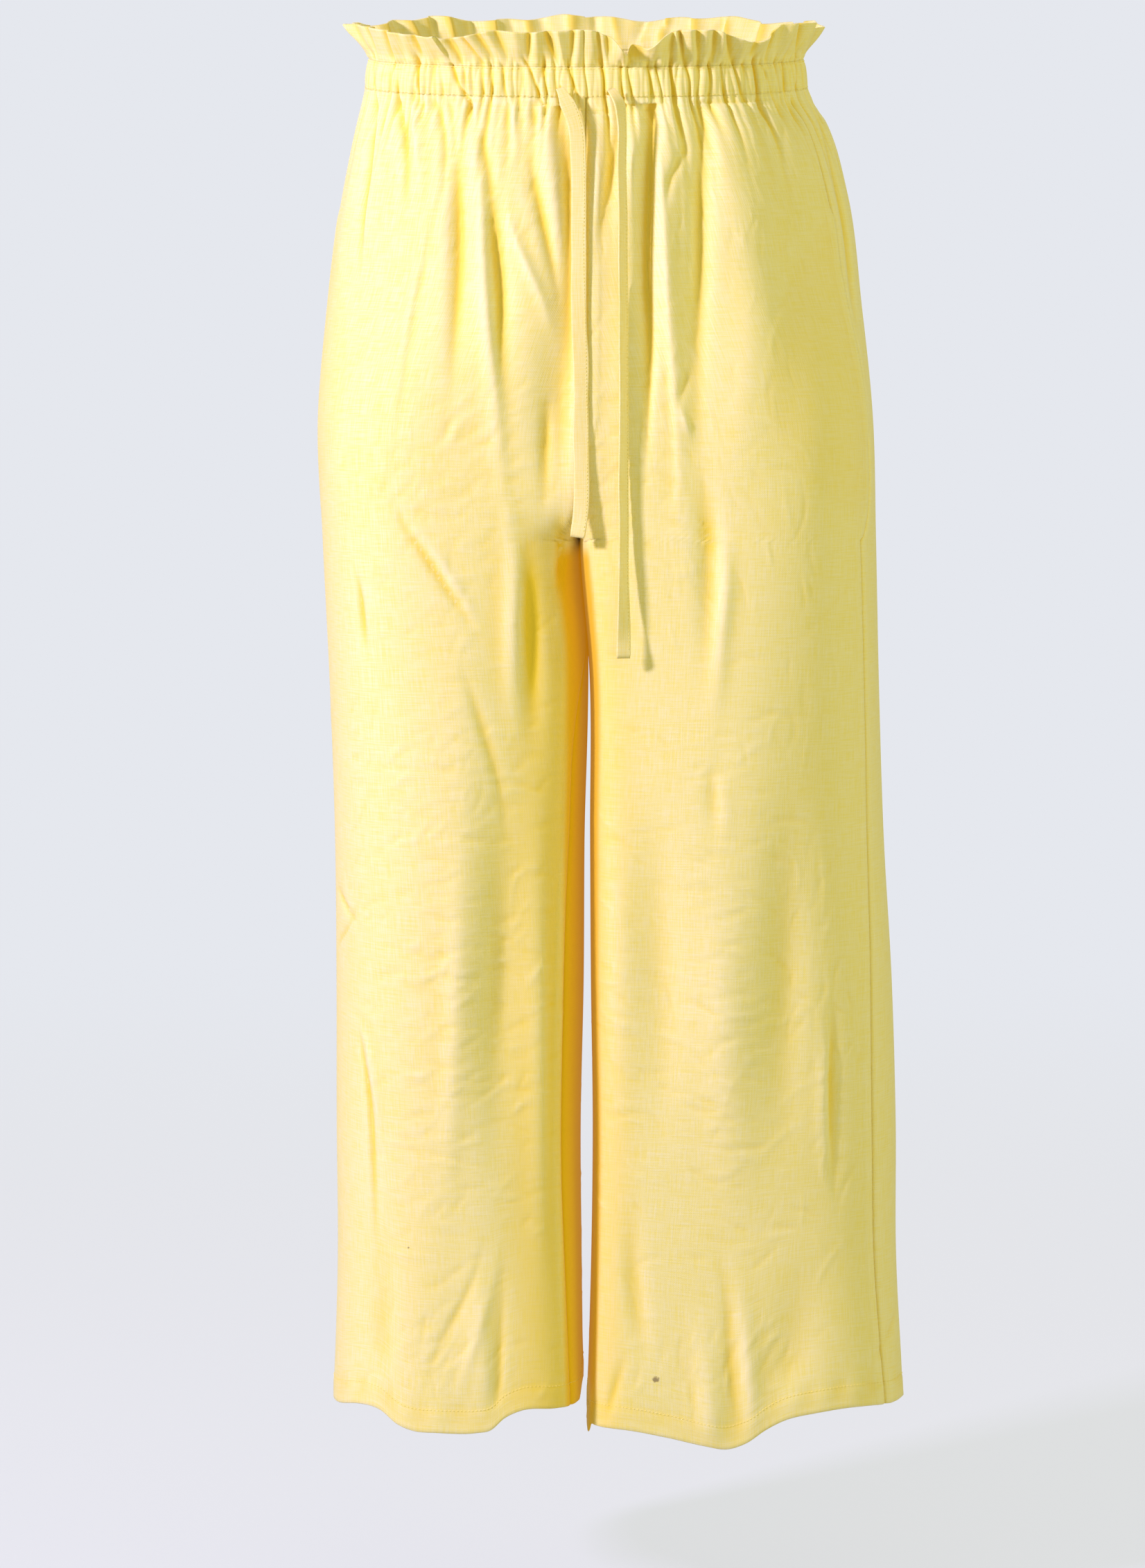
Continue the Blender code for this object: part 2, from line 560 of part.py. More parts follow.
def casing_face(x, z):
    """The foremost y of the casing's face at height z, over a tie's width about x."""
    across = x + TIE_WIDTH * np.linspace(-0.5, 0.5, 9)
    edges = []
    for height in (-CASING_HEIGHT / 2, CASING_HEIGHT / 2):
        edge, _ = ring_row(height, 0.0, 0.0, GATHER_DEPTH)
        front = edge[edge[:, 1] < 0.0]
        front = front[np.argsort(front[:, 0])]
        edges.append([np.interp(across, front[:, 0], front[:, k]) for k in (1, 2)])
    (low_y, low_z), (high_y, high_z) = edges
    up = (z - low_z) / (high_z - low_z)
    return (low_y + (high_y - low_y) * up).min()


def tie(name, route):
    """A flat tie: an oblong carried along a smooth curve through its route's points."""
    places = np.array([row[:3] for row in route])
    places[0, 1] = casing_face(places[0, 0], places[0, 2]) - TIE_THICK / 2 - SEAM_GAP
    turns = column(route, TIE_COLUMNS, "turn_degrees")
    knots = along(places)
    at = np.linspace(0.0, 1.0, TIE_POINTS)
    middle = through(at, knots, places)
    turn = np.radians(through(at, knots, turns))
    wide = np.column_stack([np.cos(turn), np.sin(turn), np.zeros_like(turn)]) * TIE_WIDTH / 2
    way = np.gradient(middle, axis=0)
    through_way = np.cross(way, wide)
    through_way *= TIE_THICK / 2 / np.linalg.norm(through_way, axis=1, keepdims=True)
    front = np.stack([middle - wide + through_way, middle + wide + through_way], axis=1)
    back = np.stack([middle - wide - through_way, middle + wide - through_way], axis=1)
    add_piece(name, "tie", *walled(front, back))


def main():
    for leftover in list(bpy.data.objects):
        bpy.data.objects.remove(leftover, do_unlink=True)
    collection = bpy.data.collections.new(NAME)
    bpy.context.scene.collection.children.link(collection)
    panels()
    casing()
    ruffle()
    tie("drawstring_right", RIGHT_TIE)
    tie("drawstring_left", LEFT_TIE)


main()
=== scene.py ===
"""Pale yellow linen trousers with a ruffled, gathered waist and a flat drawstring, worn and empty.

Metres, +Z up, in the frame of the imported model: the front faces -Y, +X is the wearer's left and
the origin is the centre of the waist casing.

Each half of the trousers is a closed outline at every height: half of an oval trunk above the
crotch, a whole leg below it. A place on the cloth is told by its share of that outline's length,
0 at the centre front or the inner side of the leg, 1 at the centre back, and by its height. The
creases are soft troughs and ridges added to that surface, each along its own line.
"""

import math

import bmesh
import bpy
import numpy as np
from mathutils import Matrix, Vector

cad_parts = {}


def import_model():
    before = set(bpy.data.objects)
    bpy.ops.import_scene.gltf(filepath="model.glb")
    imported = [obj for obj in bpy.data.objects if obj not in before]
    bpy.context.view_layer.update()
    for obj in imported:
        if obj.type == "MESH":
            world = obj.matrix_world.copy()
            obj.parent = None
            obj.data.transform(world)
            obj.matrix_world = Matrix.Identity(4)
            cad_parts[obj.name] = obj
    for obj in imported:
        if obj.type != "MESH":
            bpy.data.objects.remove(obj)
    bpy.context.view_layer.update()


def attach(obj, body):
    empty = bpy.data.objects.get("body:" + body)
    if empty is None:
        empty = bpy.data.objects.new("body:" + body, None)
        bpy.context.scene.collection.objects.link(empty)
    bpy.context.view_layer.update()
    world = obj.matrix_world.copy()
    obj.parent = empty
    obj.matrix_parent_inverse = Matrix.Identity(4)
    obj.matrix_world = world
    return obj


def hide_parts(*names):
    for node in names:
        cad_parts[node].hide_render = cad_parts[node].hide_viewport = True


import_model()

# ---------------------------------------------------------------- sizes shared with the model
SEAM_GAP = 0.0003
STITCH_GAP = 0.00004  # between casing, ruffle and panels, which are one cloth
WALL = 0.0006  # cloth of one layer
FOLDED_WALL = 0.0014  # casing and ruffle, folded double
HEM_WALL = 0.0009  # where the hem is turned up
HEM_HEIGHT = 0.0155  # from the hem's edge to its stitches

CASING_HEIGHT = 0.0195
RUFFLE_FLARE = 0.0085
WAIST_SLOPE = 0.154

LEG_SHAPE_START_Z = -0.120
CURVE_START_Z = -0.225
CROTCH_Z = -0.315
HELD_END_Z = -0.400
FREED_BY = 0.65
HEM_Z = -0.925
HEM_WAVE_START_Z = -0.700
HEM_BLEND = 0.030

TIE_WIDTH = 0.0100
TIE_THICK = 0.0014

TRUNK_BOXINESS = 2.15
LOW_TRUNK_BOXINESS = 3.40
LEG_BOXINESS = 2.45
CORNER_BOXINESS = {"left": 8.0, "right": 4.5}
END_SOFTNESS = 0.15  # radians
OUTLINE_STEPS = 360

FORM_COLUMNS = (
    "z", "left_out", "right_out", "left_in", "right_in",
    "left_front", "right_front", "left_back", "right_back",
)
FORM = (
    (0.010, 0.1483, 0.1473, 0.0000, 0.0000, 0.1050, 0.1050, 0.1050, 0.1050),
    (-0.010, 0.1512, 0.1500, 0.0000, 0.0000, 0.1075, 0.1075, 0.1080, 0.1080),
    (-0.035, 0.1650, 0.1560, 0.0000, 0.0000, 0.1150, 0.1150, 0.1190, 0.1190),
    (-0.080, 0.1785, 0.1651, 0.0000, 0.0000, 0.1220, 0.1220, 0.1330, 0.1330),
    (-0.160, 0.1890, 0.1757, 0.0000, 0.0000, 0.1275, 0.1275, 0.1470, 0.1470),
    (-0.235, 0.1962, 0.1822, -0.0010, 0.0010, 0.1280, 0.1280, 0.1490, 0.1490),
    (-0.315, 0.1990, 0.1797, -0.0039, 0.0041, 0.1245, 0.1250, 0.1410, 0.1410),
    (-0.410, 0.2018, 0.1757, 0.0032, -0.0018, 0.1160, 0.1190, 0.1270, 0.1290),
    (-0.520, 0.2063, 0.1726, 0.0036, 0.0002, 0.1060, 0.1120, 0.1140, 0.1190),
    (-0.620, 0.2128, 0.1723, 0.0042, 0.0008, 0.0980, 0.1060, 0.1030, 0.1110),
    (-0.720, 0.2166, 0.1729, 0.0055, 0.0028, 0.0900, 0.1010, 0.0940, 0.1050),
    (-0.820, 0.2178, 0.1728, 0.0044, 0.0022, 0.0830, 0.0970, 0.0870, 0.1010),
    (-0.925, 0.2238, 0.1762, 0.0014, 0.0012, 0.0780, 0.0945, 0.0830, 0.0980),
)

SEAM_COLUMNS = ("z", "left_outseam", "right_outseam", "left_inseam", "right_inseam", "slope")
SEAMS = (
    (0.010, 0.372, 0.490, 0.000, 0.000, WAIST_SLOPE),
    (-0.011, 0.372, 0.490, 0.000, 0.000, WAIST_SLOPE),
    (-0.035, 0.372, 0.490, 0.000, 0.000, 0.130),
    (-0.080, 0.372, 0.490, 0.000, 0.000, 0.085),
    (-0.160, 0.372, 0.490, 0.000, 0.000, 0.030),
    (-0.235, 0.375, 0.493, 0.000, 0.000, 0.000),
    (-0.315, 0.395, 0.505, 0.000, 0.000, 0.000),
    (-0.410, 0.405, 0.520, 0.018, 0.119, 0.000),
    (-0.520, 0.410, 0.525, 0.022, 0.140, 0.000),
    (-0.720, 0.412, 0.525, 0.024, 0.143, 0.000),
    (-0.925, 0.430, 0.520, 0.024, 0.125, 0.000),
)

# How far each hem hangs above (+) or below (-) its level, by x, in front and behind.
HEM_COLUMNS = ("x", "front", "back")
HEM = (
    (-0.1762, 0.010, 0.006),
    (-0.1560, 0.019, 0.004),
    (-0.1400, 0.018, 0.002),
    (-0.1290, 0.010, 0.001),
    (-0.1180, 0.006, 0.000),
    (-0.1010, 0.005, -0.002),
    (-0.0740, 0.005, 0.001),
    (-0.0640, 0.007, 0.002),
    (-0.0550, 0.015, 0.003),
    (-0.0440, 0.020, 0.005),
    (-0.0200, 0.020, 0.010),
    (-0.0040, 0.019, 0.011),
    (-0.0004, 0.019, 0.011),
    (0.0004, 0.003, 0.004),
    (0.0040, 0.003, 0.004),
    (0.0280, 0.002, 0.002),
    (0.0560, -0.003, 0.000),
    (0.0830, -0.009, -0.003),
    (0.0980, -0.011, -0.003),
    (0.1100, -0.007, -0.002),
    (0.1230, 0.002, -0.001),
    (0.1370, 0.009, 0.001),
    (0.1570, 0.013, 0.003),
    (0.1800, 0.015, 0.003),
    (0.2238, 0.011, 0.002),
)

TIE_COLUMNS = ("x", "y", "z", "turn_degrees")
RIGHT_TIE = (
    (-0.0168, -0.1120, -0.0205, 0.0),
    (-0.0120, -0.1172, -0.0310, 5.0),
    (-0.0074, -0.1205, -0.0428, 5.0),
    (-0.0051, -0.1245, -0.0676, 0.0),
    (-0.0047, -0.1290, -0.1342, -4.0),
    (-0.0033, -0.1300, -0.1967, 4.0),
    (-0.0024, -0.1300, -0.2595, 2.0),
    (-0.0033, -0.1295, -0.2978, -6.0),
    (-0.0051, -0.1290, -0.3118, -12.0),
)
LEFT_TIE = (
    (0.0163, -0.1120, -0.0215, 0.0),
    (0.0212, -0.1180, -0.0300, 40.0),
    (0.0230, -0.1215, -0.0420, 52.0),
    (0.0236, -0.1250, -0.0702, 55.0),
    (0.0241, -0.1300, -0.1333, 52.0),
    (0.0246, -0.1315, -0.2056, 56.0),
    (0.0247, -0.1315, -0.2775, 52.0),
    (0.0248, -0.1315, -0.3589, 40.0),
    (0.0249, -0.1315, -0.3907, 12.0),
)

# ---------------------------------------------------------------- the photograph's view
PHOTO_WIDTH, PHOTO_HEIGHT = 1652, 2263
CAMERA_AT = np.array([-0.0087, -2.5000, -0.2380])
AIMED_AT = np.array([-0.0087, 0.0, -0.4864])
PIXELS_PER_METRE = 2080.0  # at the aim's distance
FRONT_Y, BACK_Y = -0.11, 0.10  # about where the cloth stands, in front and behind
SEEN_OVAL_POWER = 2.3
SEEN_OVAL_EDGE = 0.98  # share of the half width beyond which a ray isn't followed


def ray_through(px, py):
    """The way from the camera through a pixel of the photograph."""
    forward = AIMED_AT - CAMERA_AT
    distance = np.linalg.norm(forward)
    forward = forward / distance
    right = np.cross(forward, [0.0, 0.0, 1.0])
    right /= np.linalg.norm(right)
    up = np.cross(right, forward)
    across = (np.asarray(px, float) - PHOTO_WIDTH / 2) / PIXELS_PER_METRE
    rise = (PHOTO_HEIGHT / 2 - np.asarray(py, float)) / PIXELS_PER_METRE
    return forward * distance + across[..., None] * right + rise[..., None] * up


def front_place(px, py):
    """x and z of the front cloth that the photograph shows at a pixel: the ray's crossing of the
    oval whose front depth is the form's at that height, found in three rounds."""
    ray = ray_through(px, py)
    y = np.full(ray.shape[:-1], FRONT_Y)
    for _ in range(3):
        place = CAMERA_AT + ray * ((y - CAMERA_AT[1]) / ray[..., 1])[..., None]
        x, z = place[..., 0], place[..., 2]
        side = np.where(x > 0, 1, 0)
        out = np.where(side, form("left_out", z), form("right_out", z))
        depth = np.where(side, form("left_front", z), form("right_front", z))
        leg = z < CROTCH_Z
        middle = np.where(leg, out / 2, 0.0)
        reach = np.abs(np.abs(x) - middle) / np.where(leg, out / 2, out)
        reach = np.clip(reach, 0.0, SEEN_OVAL_EDGE)
        y = -depth * (1.0 - reach**SEEN_OVAL_POWER) ** (1 / SEEN_OVAL_POWER)
    return x, z


# ---------------------------------------------------------------- creases
# Each runs along a line of pixels of the photograph. left and right are the widths in mm of its
# two sides as seen from in front, depth is in mm, below 0 for a trough. power shapes its
# section: 2 is a soft bell and 1 a crease. start is the share of its depth that it has at its
# first point, and peak the share of its length at which it is full.
CREASE_COLUMNS = ("left", "right", "depth", "power", "start", "peak", "line")
FRONT_CREASES = (
    # image-left half, from its side to the centre seam
    (6, 3, -5.5, 1.7, 0.6, 0.35, ((541, 134), (531, 215), (520, 312), (519, 433))),
    (3, 5, -4.2, 1.6, 1, 0.25, ((573, 134), (570, 164), (579, 208), (584, 282), (580, 350))),
    (2.5, 3, -3, 1.6, 1, 0.20, ((603, 129), (606, 165), (609, 200))),
    (3, 3.5, -3.4, 1.5, 0.8, 0.30, ((619, 133), (630, 164), (638, 200), (639, 244), (632, 330))),
    (5, 8, -7.5, 1.6, 0, 0.40, ((652, 160), (656, 226), (658, 303), (658, 406), (655, 500),
        (650, 620))),
    (2.5, 3, -2.6, 1.5, 0.8, 0.30, ((644, 135), (650, 180), (656, 232))),
    (3, 3, 2.2, 1.7, 0.8, 0.30, ((590, 135), (596, 180), (603, 240), (608, 300))),
    (3, 3.5, -3, 1.6, 0, 0.50, ((692, 160), (700, 225), (708, 290))),
    (3, 3, -2.6, 1.5, 0.9, 0.25, ((730, 138), (731, 170), (730, 210))),
    (2.5, 3, -2.6, 1.5, 0.9, 0.25, ((768, 143), (770, 164), (773, 196))),
    (5, 2.5, -3, 1.5, 1, 0.25, ((674, 135), (681, 175), (683, 215))),
    (8, 5, 5.5, 1.9, 0.4, 0.45, ((682, 141), (687, 200), (696, 303), (703, 431), (714, 559),
        (727, 703), (742, 789))),
    (4, 7, -6, 1.6, 0, 0.45, ((705, 215), (712, 330), (720, 420), (722, 520), (730, 600))),
    (4, 3.5, 3.4, 1.6, 0.8, 0.25, ((738, 138), (743, 180), (744, 215), (736, 255))),
    (4.5, 3.5, 3.8, 1.6, 0, 0.45, ((729, 280), (742, 335), (761, 380), (784, 436), (799, 502))),
    (4, 6, -5.2, 1.6, 0, 0.45, ((760, 190), (772, 262), (786, 329), (803, 410), (812, 480))),
    (4, 3, -2.5, 1.7, 0, 0.40, ((790, 559), (787, 674), (784, 760))),
    (8, 7, 3, 2, 0.6, 0.30, ((785, 150), (790, 210), (797, 300), (802, 380))),
    (5.5, 7, -6.5, 1.8, 0.6, 0.35, ((810, 149), (819, 226), (822, 329), (823, 457), (822, 620),
        (818, 740))),
    (15, 8, -7, 2, 0, 0.60, ((800, 330), (806, 450), (806, 560), (804, 660), (800, 750))),
    (3, 4, -1.8, 1.6, 0, 0.40, ((641, 243), (612, 375), (589, 502), (575, 617), (560, 680))),
    (3, 4, 1.4, 1.7, 0, 0.40, ((630, 300), (603, 400), (583, 520), (570, 620))),
    (3.5, 4.5, -2.2, 1.6, 0, 0.45, ((562, 700), (590, 765), (612, 800), (647, 852), (687, 915),
        (706, 955))),
    (4, 3.5, 1.8, 1.7, 0, 0.50, ((585, 735), (630, 800), (668, 860), (700, 920))),
    (3.5, 5, -1.9, 1.7, 0, 0.40, ((658, 930), (681, 1000), (700, 1060), (720, 1130), (735, 1250))),
    (3, 3, -0.9, 1.5, 0, 0.50, ((622, 650), (642, 629), (652, 604), (674, 584))),
    (3, 3, 0.7, 1.6, 0, 0.50, ((628, 662), (650, 640), (664, 612), (690, 590))),
    (2.5, 4, -3.2, 1.7, 0, 0.45, ((515, 810), (520, 859), (526, 906), (535, 965))),
    (3.5, 2.5, -2.6, 1.7, 0, 0.35, ((807, 731), (811, 777), (802, 892))),
    (7, 6, 3.4, 2, 0, 0.45, ((727, 700), (742, 800), (741, 904), (741, 976), (744, 1047),
        (752, 1110))),
    (6, 6, -2.6, 2, 0, 0.50, ((762, 760), (768, 880), (770, 1000), (772, 1110))),
    # image-left leg
    (64, 30, 14, 2, 0, 0.45, ((648, 640), (655, 900), (662, 1200), (672, 1600), (684, 1900),
        (690, 2080))),
    (12, 12, -4.5, 2, 0, 0.50, ((722, 1090), (722, 1300), (718, 1500), (716, 1760))),
    (9, 8, 3.2, 2, 0, 0.50, ((775, 1060), (776, 1300), (778, 1600), (780, 1960))),
    (8, 9, 3, 2, 0, 0.50, ((655, 1150), (660, 1350), (655, 1560), (640, 1800))),
    (2, 5, -3.4, 1.5, 0, 0.35, ((485, 1433), (508, 1455), (522, 1480), (528, 1520), (536, 1590),
        (541, 1700), (545, 1890))),
    (4, 3, 2, 1.6, 0, 0.40, ((500, 1440), (530, 1490), (545, 1560), (553, 1700))),
    (2.5, 3, -2, 1.4, 0, 0.50, ((486, 1275), (505, 1310), (530, 1340), (533, 1395))),
    (2.5, 2.5, -1.6, 1.4, 0, 0.50, ((533, 1280), (510, 1330), (490, 1360), (486, 1400))),
    (2.5, 4, -1.3, 1.5, 0, 0.50, ((702, 1760), (690, 1830), (660, 1900), (630, 1960), (610, 2040))),
    (5, 4, 1.3, 1.8, 0, 0.60, ((720, 1760), (712, 1850), (690, 1930), (668, 2000), (655, 2060))),
    (4, 3, -1.6, 1.7, 0, 0.85, ((728, 1800), (725, 1900), (722, 1980), (719, 2060))),
    (12, 7, 3, 2, 0, 0.75, ((690, 1750), (692, 1880), (697, 1980), (700, 2066))),
    (10, 10, -3, 2, 0, 0.75, ((560, 1700), (556, 1850), (552, 1960), (548, 2040))),
    # image-right half
    (7, 7, 3, 2, 0.5, 0.35, ((866, 160), (864, 260), (860, 380), (858, 500))),
    (4, 6, -3.8, 1.7, 0.7, 0.35, ((903, 146), (887, 215), (874, 283), (862, 371), (858, 440))),
    (5, 5, 2.6, 1.9, 0.5, 0.30, ((917, 150), (914, 240), (910, 340))),
    (7, 3, -10, 1.5, 0.8, 0.35, ((945, 146), (940, 272), (937, 387), (939, 502), (935, 594),
        (930, 740))),
    (4, 8, 4.8, 1.8, 0.6, 0.40, ((953, 146), (952, 184), (957, 313), (964, 459), (977, 617),
        (980, 731), (974, 846))),
    (2.5, 3, 2.4, 1.5, 0, 0.50, ((978, 580), (990, 615), (998, 640))),
    (3, 2.5, -2, 1.6, 0, 0.50, ((1004, 185), (986, 220), (970, 250), (958, 310))),
    (7, 6, -7, 1.8, 0.7, 0.30, ((1017, 134), (1016, 272), (1014, 375), (1007, 559), (1013, 700))),
    (8, 8, -4, 2, 0, 0.45, ((1010, 640), (1022, 789), (1023, 904), (1021, 1010))),
    (20, 24, 7, 2, 0.4, 0.45, ((1056, 150), (1076, 330), (1084, 470), (1070, 640), (1050, 800))),
    (2.5, 4, -4, 1.4, 1, 0.20, ((1094, 121), (1097, 150), (1104, 180), (1112, 215))),
    (3.5, 5, -2.6, 1.6, 0.8, 0.20, ((1122, 125), (1130, 165), (1136, 230))),
    (4, 5, -2.4, 1.6, 0.8, 0.20, ((1142, 125), (1150, 170), (1156, 240))),
    (6, 5, -3.6, 1.9, 0.3, 0.50, ((1176, 146), (1201, 232), (1223, 330), (1232, 444), (1236, 513))),
    (7, 6, 3.4, 2, 0, 0.40, ((1037, 731), (1045, 846), (1039, 913), (1030, 1029), (1020, 1078))),
    (6, 7, -1.8, 1.9, 0, 0.50, ((1034, 1060), (1029, 1130), (1031, 1220))),
    (6, 6, 1.2, 1.9, 0, 0.45, ((1010, 1050), (1034, 1110), (1044, 1180), (1040, 1250))),
    (3, 3, -1.5, 1.5, 0, 0.50, ((1000, 520), (985, 560), (975, 600))),
    # image-right leg
    (60, 42, 13, 2.1, 0, 0.40, ((1040, 600), (1046, 900), (1050, 1200), (1052, 1600),
        (1056, 1900), (1060, 2100))),
    (16, 18, 5, 2, 0, 0.50, ((1040, 1180), (1042, 1400), (1050, 1600), (1058, 1800))),
    (14, 14, -4, 2, 0, 0.50, ((948, 1100), (950, 1300), (955, 1500), (950, 1700))),
    (10, 12, 3, 2, 0, 0.50, ((885, 1000), (890, 1250), (892, 1500), (890, 1750))),
    (16, 14, -4.5, 2, 0, 0.50, ((1128, 1100), (1132, 1300), (1130, 1500), (1126, 1740))),
    (2.2, 6, -2.6, 1.6, 0, 0.40, ((1203, 1410), (1199, 1500), (1198, 1611), (1202, 1701),
        (1207, 1775))),
    (6, 4, 1.6, 1.9, 0, 0.50, ((1190, 1440), (1186, 1600), (1190, 1740))),
    (4, 6, -1.9, 1.7, 0, 0.60, ((1030, 1760), (1049, 1870), (1053, 1938), (1060, 2006),
        (1068, 2088))),
    (6, 7, 3.4, 1.9, 0, 0.70, ((1056, 1780), (1074, 1900), (1082, 1980), (1090, 2080))),
    (9, 9, 4, 2, 0, 0.70, ((1010, 1850), (1018, 1940), (1024, 2010), (1030, 2088))),
    (7, 7, -2.6, 2, 0, 0.60, ((911, 1700), (915, 1850), (925, 1930), (935, 1980))),
    (3, 3, -1.4, 1.6, 0, 0.60, ((902, 1935), (892, 1975), (880, 2015), (871, 2045))),
    (18, 16, -3.5, 2, 0, 0.70, ((1160, 1800), (1150, 1900), (1142, 1980), (1136, 2050))),
    (3, 3, -1, 1.6, 0, 0.50, ((1296, 1900), (1280, 1950), (1262, 1990), (1240, 2030))),
)
# The same, as seen from behind, in mm of x and z.
BACK_CREASES = (
    (7, 7, -6, 1.9, 0.6, 0.35, ((-8, 24), (-11, -120), (-13, -280))),
    (7, 7, -6, 1.9, 0.6, 0.35, ((42, 24), (47, -130), (40, -260))),
    (6, 7, -5.5, 1.8, 0.7, 0.30, ((-57, 24), (-64, -110), (-71, -215))),
    (5, 6, -4.5, 1.8, 0.7, 0.30, ((96, 24), (110, -100), (118, -190))),
    (5, 5, -4.5, 1.8, 0.7, 0.30, ((-112, 24), (-124, -90), (-132, -180))),
    (9, 9, 4.5, 2, 0.5, 0.40, ((17, 24), (18, -140), (16, -250))),
    (10, 9, 4, 2, 0.5, 0.40, ((-34, 24), (-38, -130), (-44, -250))),
    (11, 9, 4, 2, 0.5, 0.40, ((70, 24), (78, -130), (80, -240))),
    (9, 9, 3.5, 2, 0.5, 0.40, ((-86, 24), (-95, -110), (-102, -210))),
    (3, 4, -3, 1.5, 1, 0.20, ((-25, 24), (-27, -40), (-26, -75))),
    (3, 4, -3, 1.5, 1, 0.20, ((60, 24), (63, -45), (62, -90))),
    (3, 3, -3, 1.5, 1, 0.20, ((28, 24), (29, -40), (31, -80))),
    (14, 13, 5, 2, 0, 0.40, ((95, -250), (90, -450), (100, -720))),
    (14, 13, 5, 2, 0, 0.40, ((-80, -250), (-86, -440), (-76, -660))),
    (5, 6, -3, 1.7, 0, 0.50, ((20, -290), (50, -330), (85, -355))),
    (5, 6, -3, 1.7, 0, 0.50, ((-22, -295), (-52, -335), (-90, -365))),
    (4, 5, -2.4, 1.7, 0, 0.50, ((24, -320), (48, -368), (66, -420))),
    (4, 5, -2.4, 1.7, 0, 0.50, ((-24, -330), (-44, -380), (-58, -440))),
    (12, 12, -5, 2, 0, 0.60, ((148, -530), (155, -740), (160, -930))),
    (12, 11, -5.5, 2, 0, 0.65, ((56, -560), (50, -760), (46, -930))),
    (11, 12, -5.5, 2, 0, 0.60, ((-118, -520), (-124, -720), (-130, -930))),
    (10, 10, -5, 2, 0, 0.65, ((-42, -620), (-46, -780), (-50, -930))),
    (9, 9, 4.5, 2, 0, 0.70, ((82, -700), (80, -820), (78, -930))),
    (9, 9, 4, 2, 0, 0.70, ((-84, -700), (-86, -820), (-88, -930))),
    (3, 4, -2.6, 1.5, 0, 0.50, ((120, -420), (140, -470), (165, -520))),
    (3, 4, -2.2, 1.5, 0, 0.50, ((-60, -470), (-85, -510), (-115, -535))),
)

# Small crumples, many to a patch: where it is on the photograph, how many, how long and how
# deep in mm, and the way they mostly run, in degrees from level.
CRUMPLE_COLUMNS = ("px", "py", "wide", "tall", "count", "length", "depth", "degrees")
CRUMPLES = (
    (660, 1430, 80, 600, 190, 13, 0.75, 8),
    (1045, 1430, 90, 600, 200, 13, 0.75, -6),
    (570, 1500, 100, 560, 90, 15, 0.60, 30),
    (770, 1400, 60, 600, 90, 12, 0.60, 20),
    (900, 1400, 70, 600, 100, 13, 0.60, -25),
    (1180, 1450, 90, 560, 70, 16, 0.55, 75),
    (640, 780, 130, 280, 90, 16, 0.60, 40),
    (1010, 760, 120, 280, 90, 15, 0.60, -50),
    (880, 700, 60, 260, 40, 13, 0.55, 20),
    (960, 420, 100, 220, 50, 14, 0.50, 60),
    (690, 320, 90, 180, 50, 12, 0.55, 50),
    (1100, 420, 80, 260, 36, 16, 0.35, 80),
    (560, 420, 70, 280, 40, 18, 0.40, 80),
    (1180, 900, 70, 460, 40, 20, 0.40, 85),
    (520, 1150, 40, 340, 40, 14, 0.60, 60),
    (640, 1120, 130, 200, 60, 14, 0.60, 30),
    (1030, 1960, 130, 120, 60, 14, 0.60, 60),
    (640, 1960, 130, 110, 60, 14, 0.60, 50),
    (590, 250, 90, 200, 70, 12, 0.55, 78),
    (740, 260, 80, 200, 70, 12, 0.60, 66),
    (1080, 260, 120, 220, 60, 12, 0.50, 85),
    (900, 600, 80, 300, 60, 12, 0.55, 15),
    (560, 620, 80, 300, 50, 13, 0.50, 60),
    (730, 640, 90, 280, 70, 12, 0.60, 35),
)
CRUMPLE_SPREAD = {"wide": 0.5, "tall": 0.33}  # deviation of their places, in shares of the patch
CRUMPLE_STRAY = 22.0  # degrees from the patch's way
CRUMPLE_LENGTH_SPREAD = 0.35
CRUMPLE_WIDTHS = (0.0010, 0.0019)
CRUMPLE_DEPTH_SHARES = (0.2, 0.75)
CRUMPLE_BEND = 14.0
CRUMPLE_SIGNS = [0.6, 0.4]  # how many are troughs and how many ridges
MM_PER_HALF = 1700  # a crumple's length in mm against the half length of its bell in metres
CRUMPLE_REACH = 2.2  # half lengths within which a crumple is added

# Those that the photograph doesn't show, on both backs
BACK_CRUMPLES = 900
BACK_GIRTHS, BACK_HEIGHTS = (0.01, 0.34), (-0.90, -0.06)
BACK_STRAY = 0.5  # radians
BACK_HALF_LENGTHS, BACK_WIDTHS = (0.004, 0.011), (0.0012, 0.0023)
BACK_DEPTHS = (0.0001, 0.0004)
SEED = 11

# Gathers round the waist, drawn with the seed: how many, and their depth, width and reach.
GATHER_COUNT = 190
GATHER_DEPTHS = (0.0006, 0.0026)
GATHER_WIDTHS = (0.0009, 0.0022)
GATHER_REACHES = (0.015, 0.100)
GATHER_STRAY = 0.4  # of the distance between two
GATHER_LEAN = 0.0012  # how far one strays between the two rows of stitches
GATHER_SWAY = 0.0005
GATHER_POWER = 1.5
GATHERS_END = 0.26  # metres below the casing
SEEN_GIRTH = 0.17  # within it the photograph shows the gathers, and drawn ones are shallower
SEEN_SHARE = 0.9
WIDENS_BELOW, WIDENS_ABOVE = 0.030, 0.006  # metres in which a gather grows as wide again
FADES_ABOVE = 0.007
PINCH = 0.25  # how much shallower a gather is halfway between the stitches
WAIST_GIRTH_HALF = 0.412  # metres, from centre front to centre back along the casing
GIRTH_AT_SIDE = 0.5

# ---------------------------------------------------------------- the base surface


def smooth_step(value):
    """Rises from 0 to 1 as value does, level at both ends."""
    value = np.clip(value, 0.0, 1.0)
    return value * value * (3.0 - 2.0 * value)


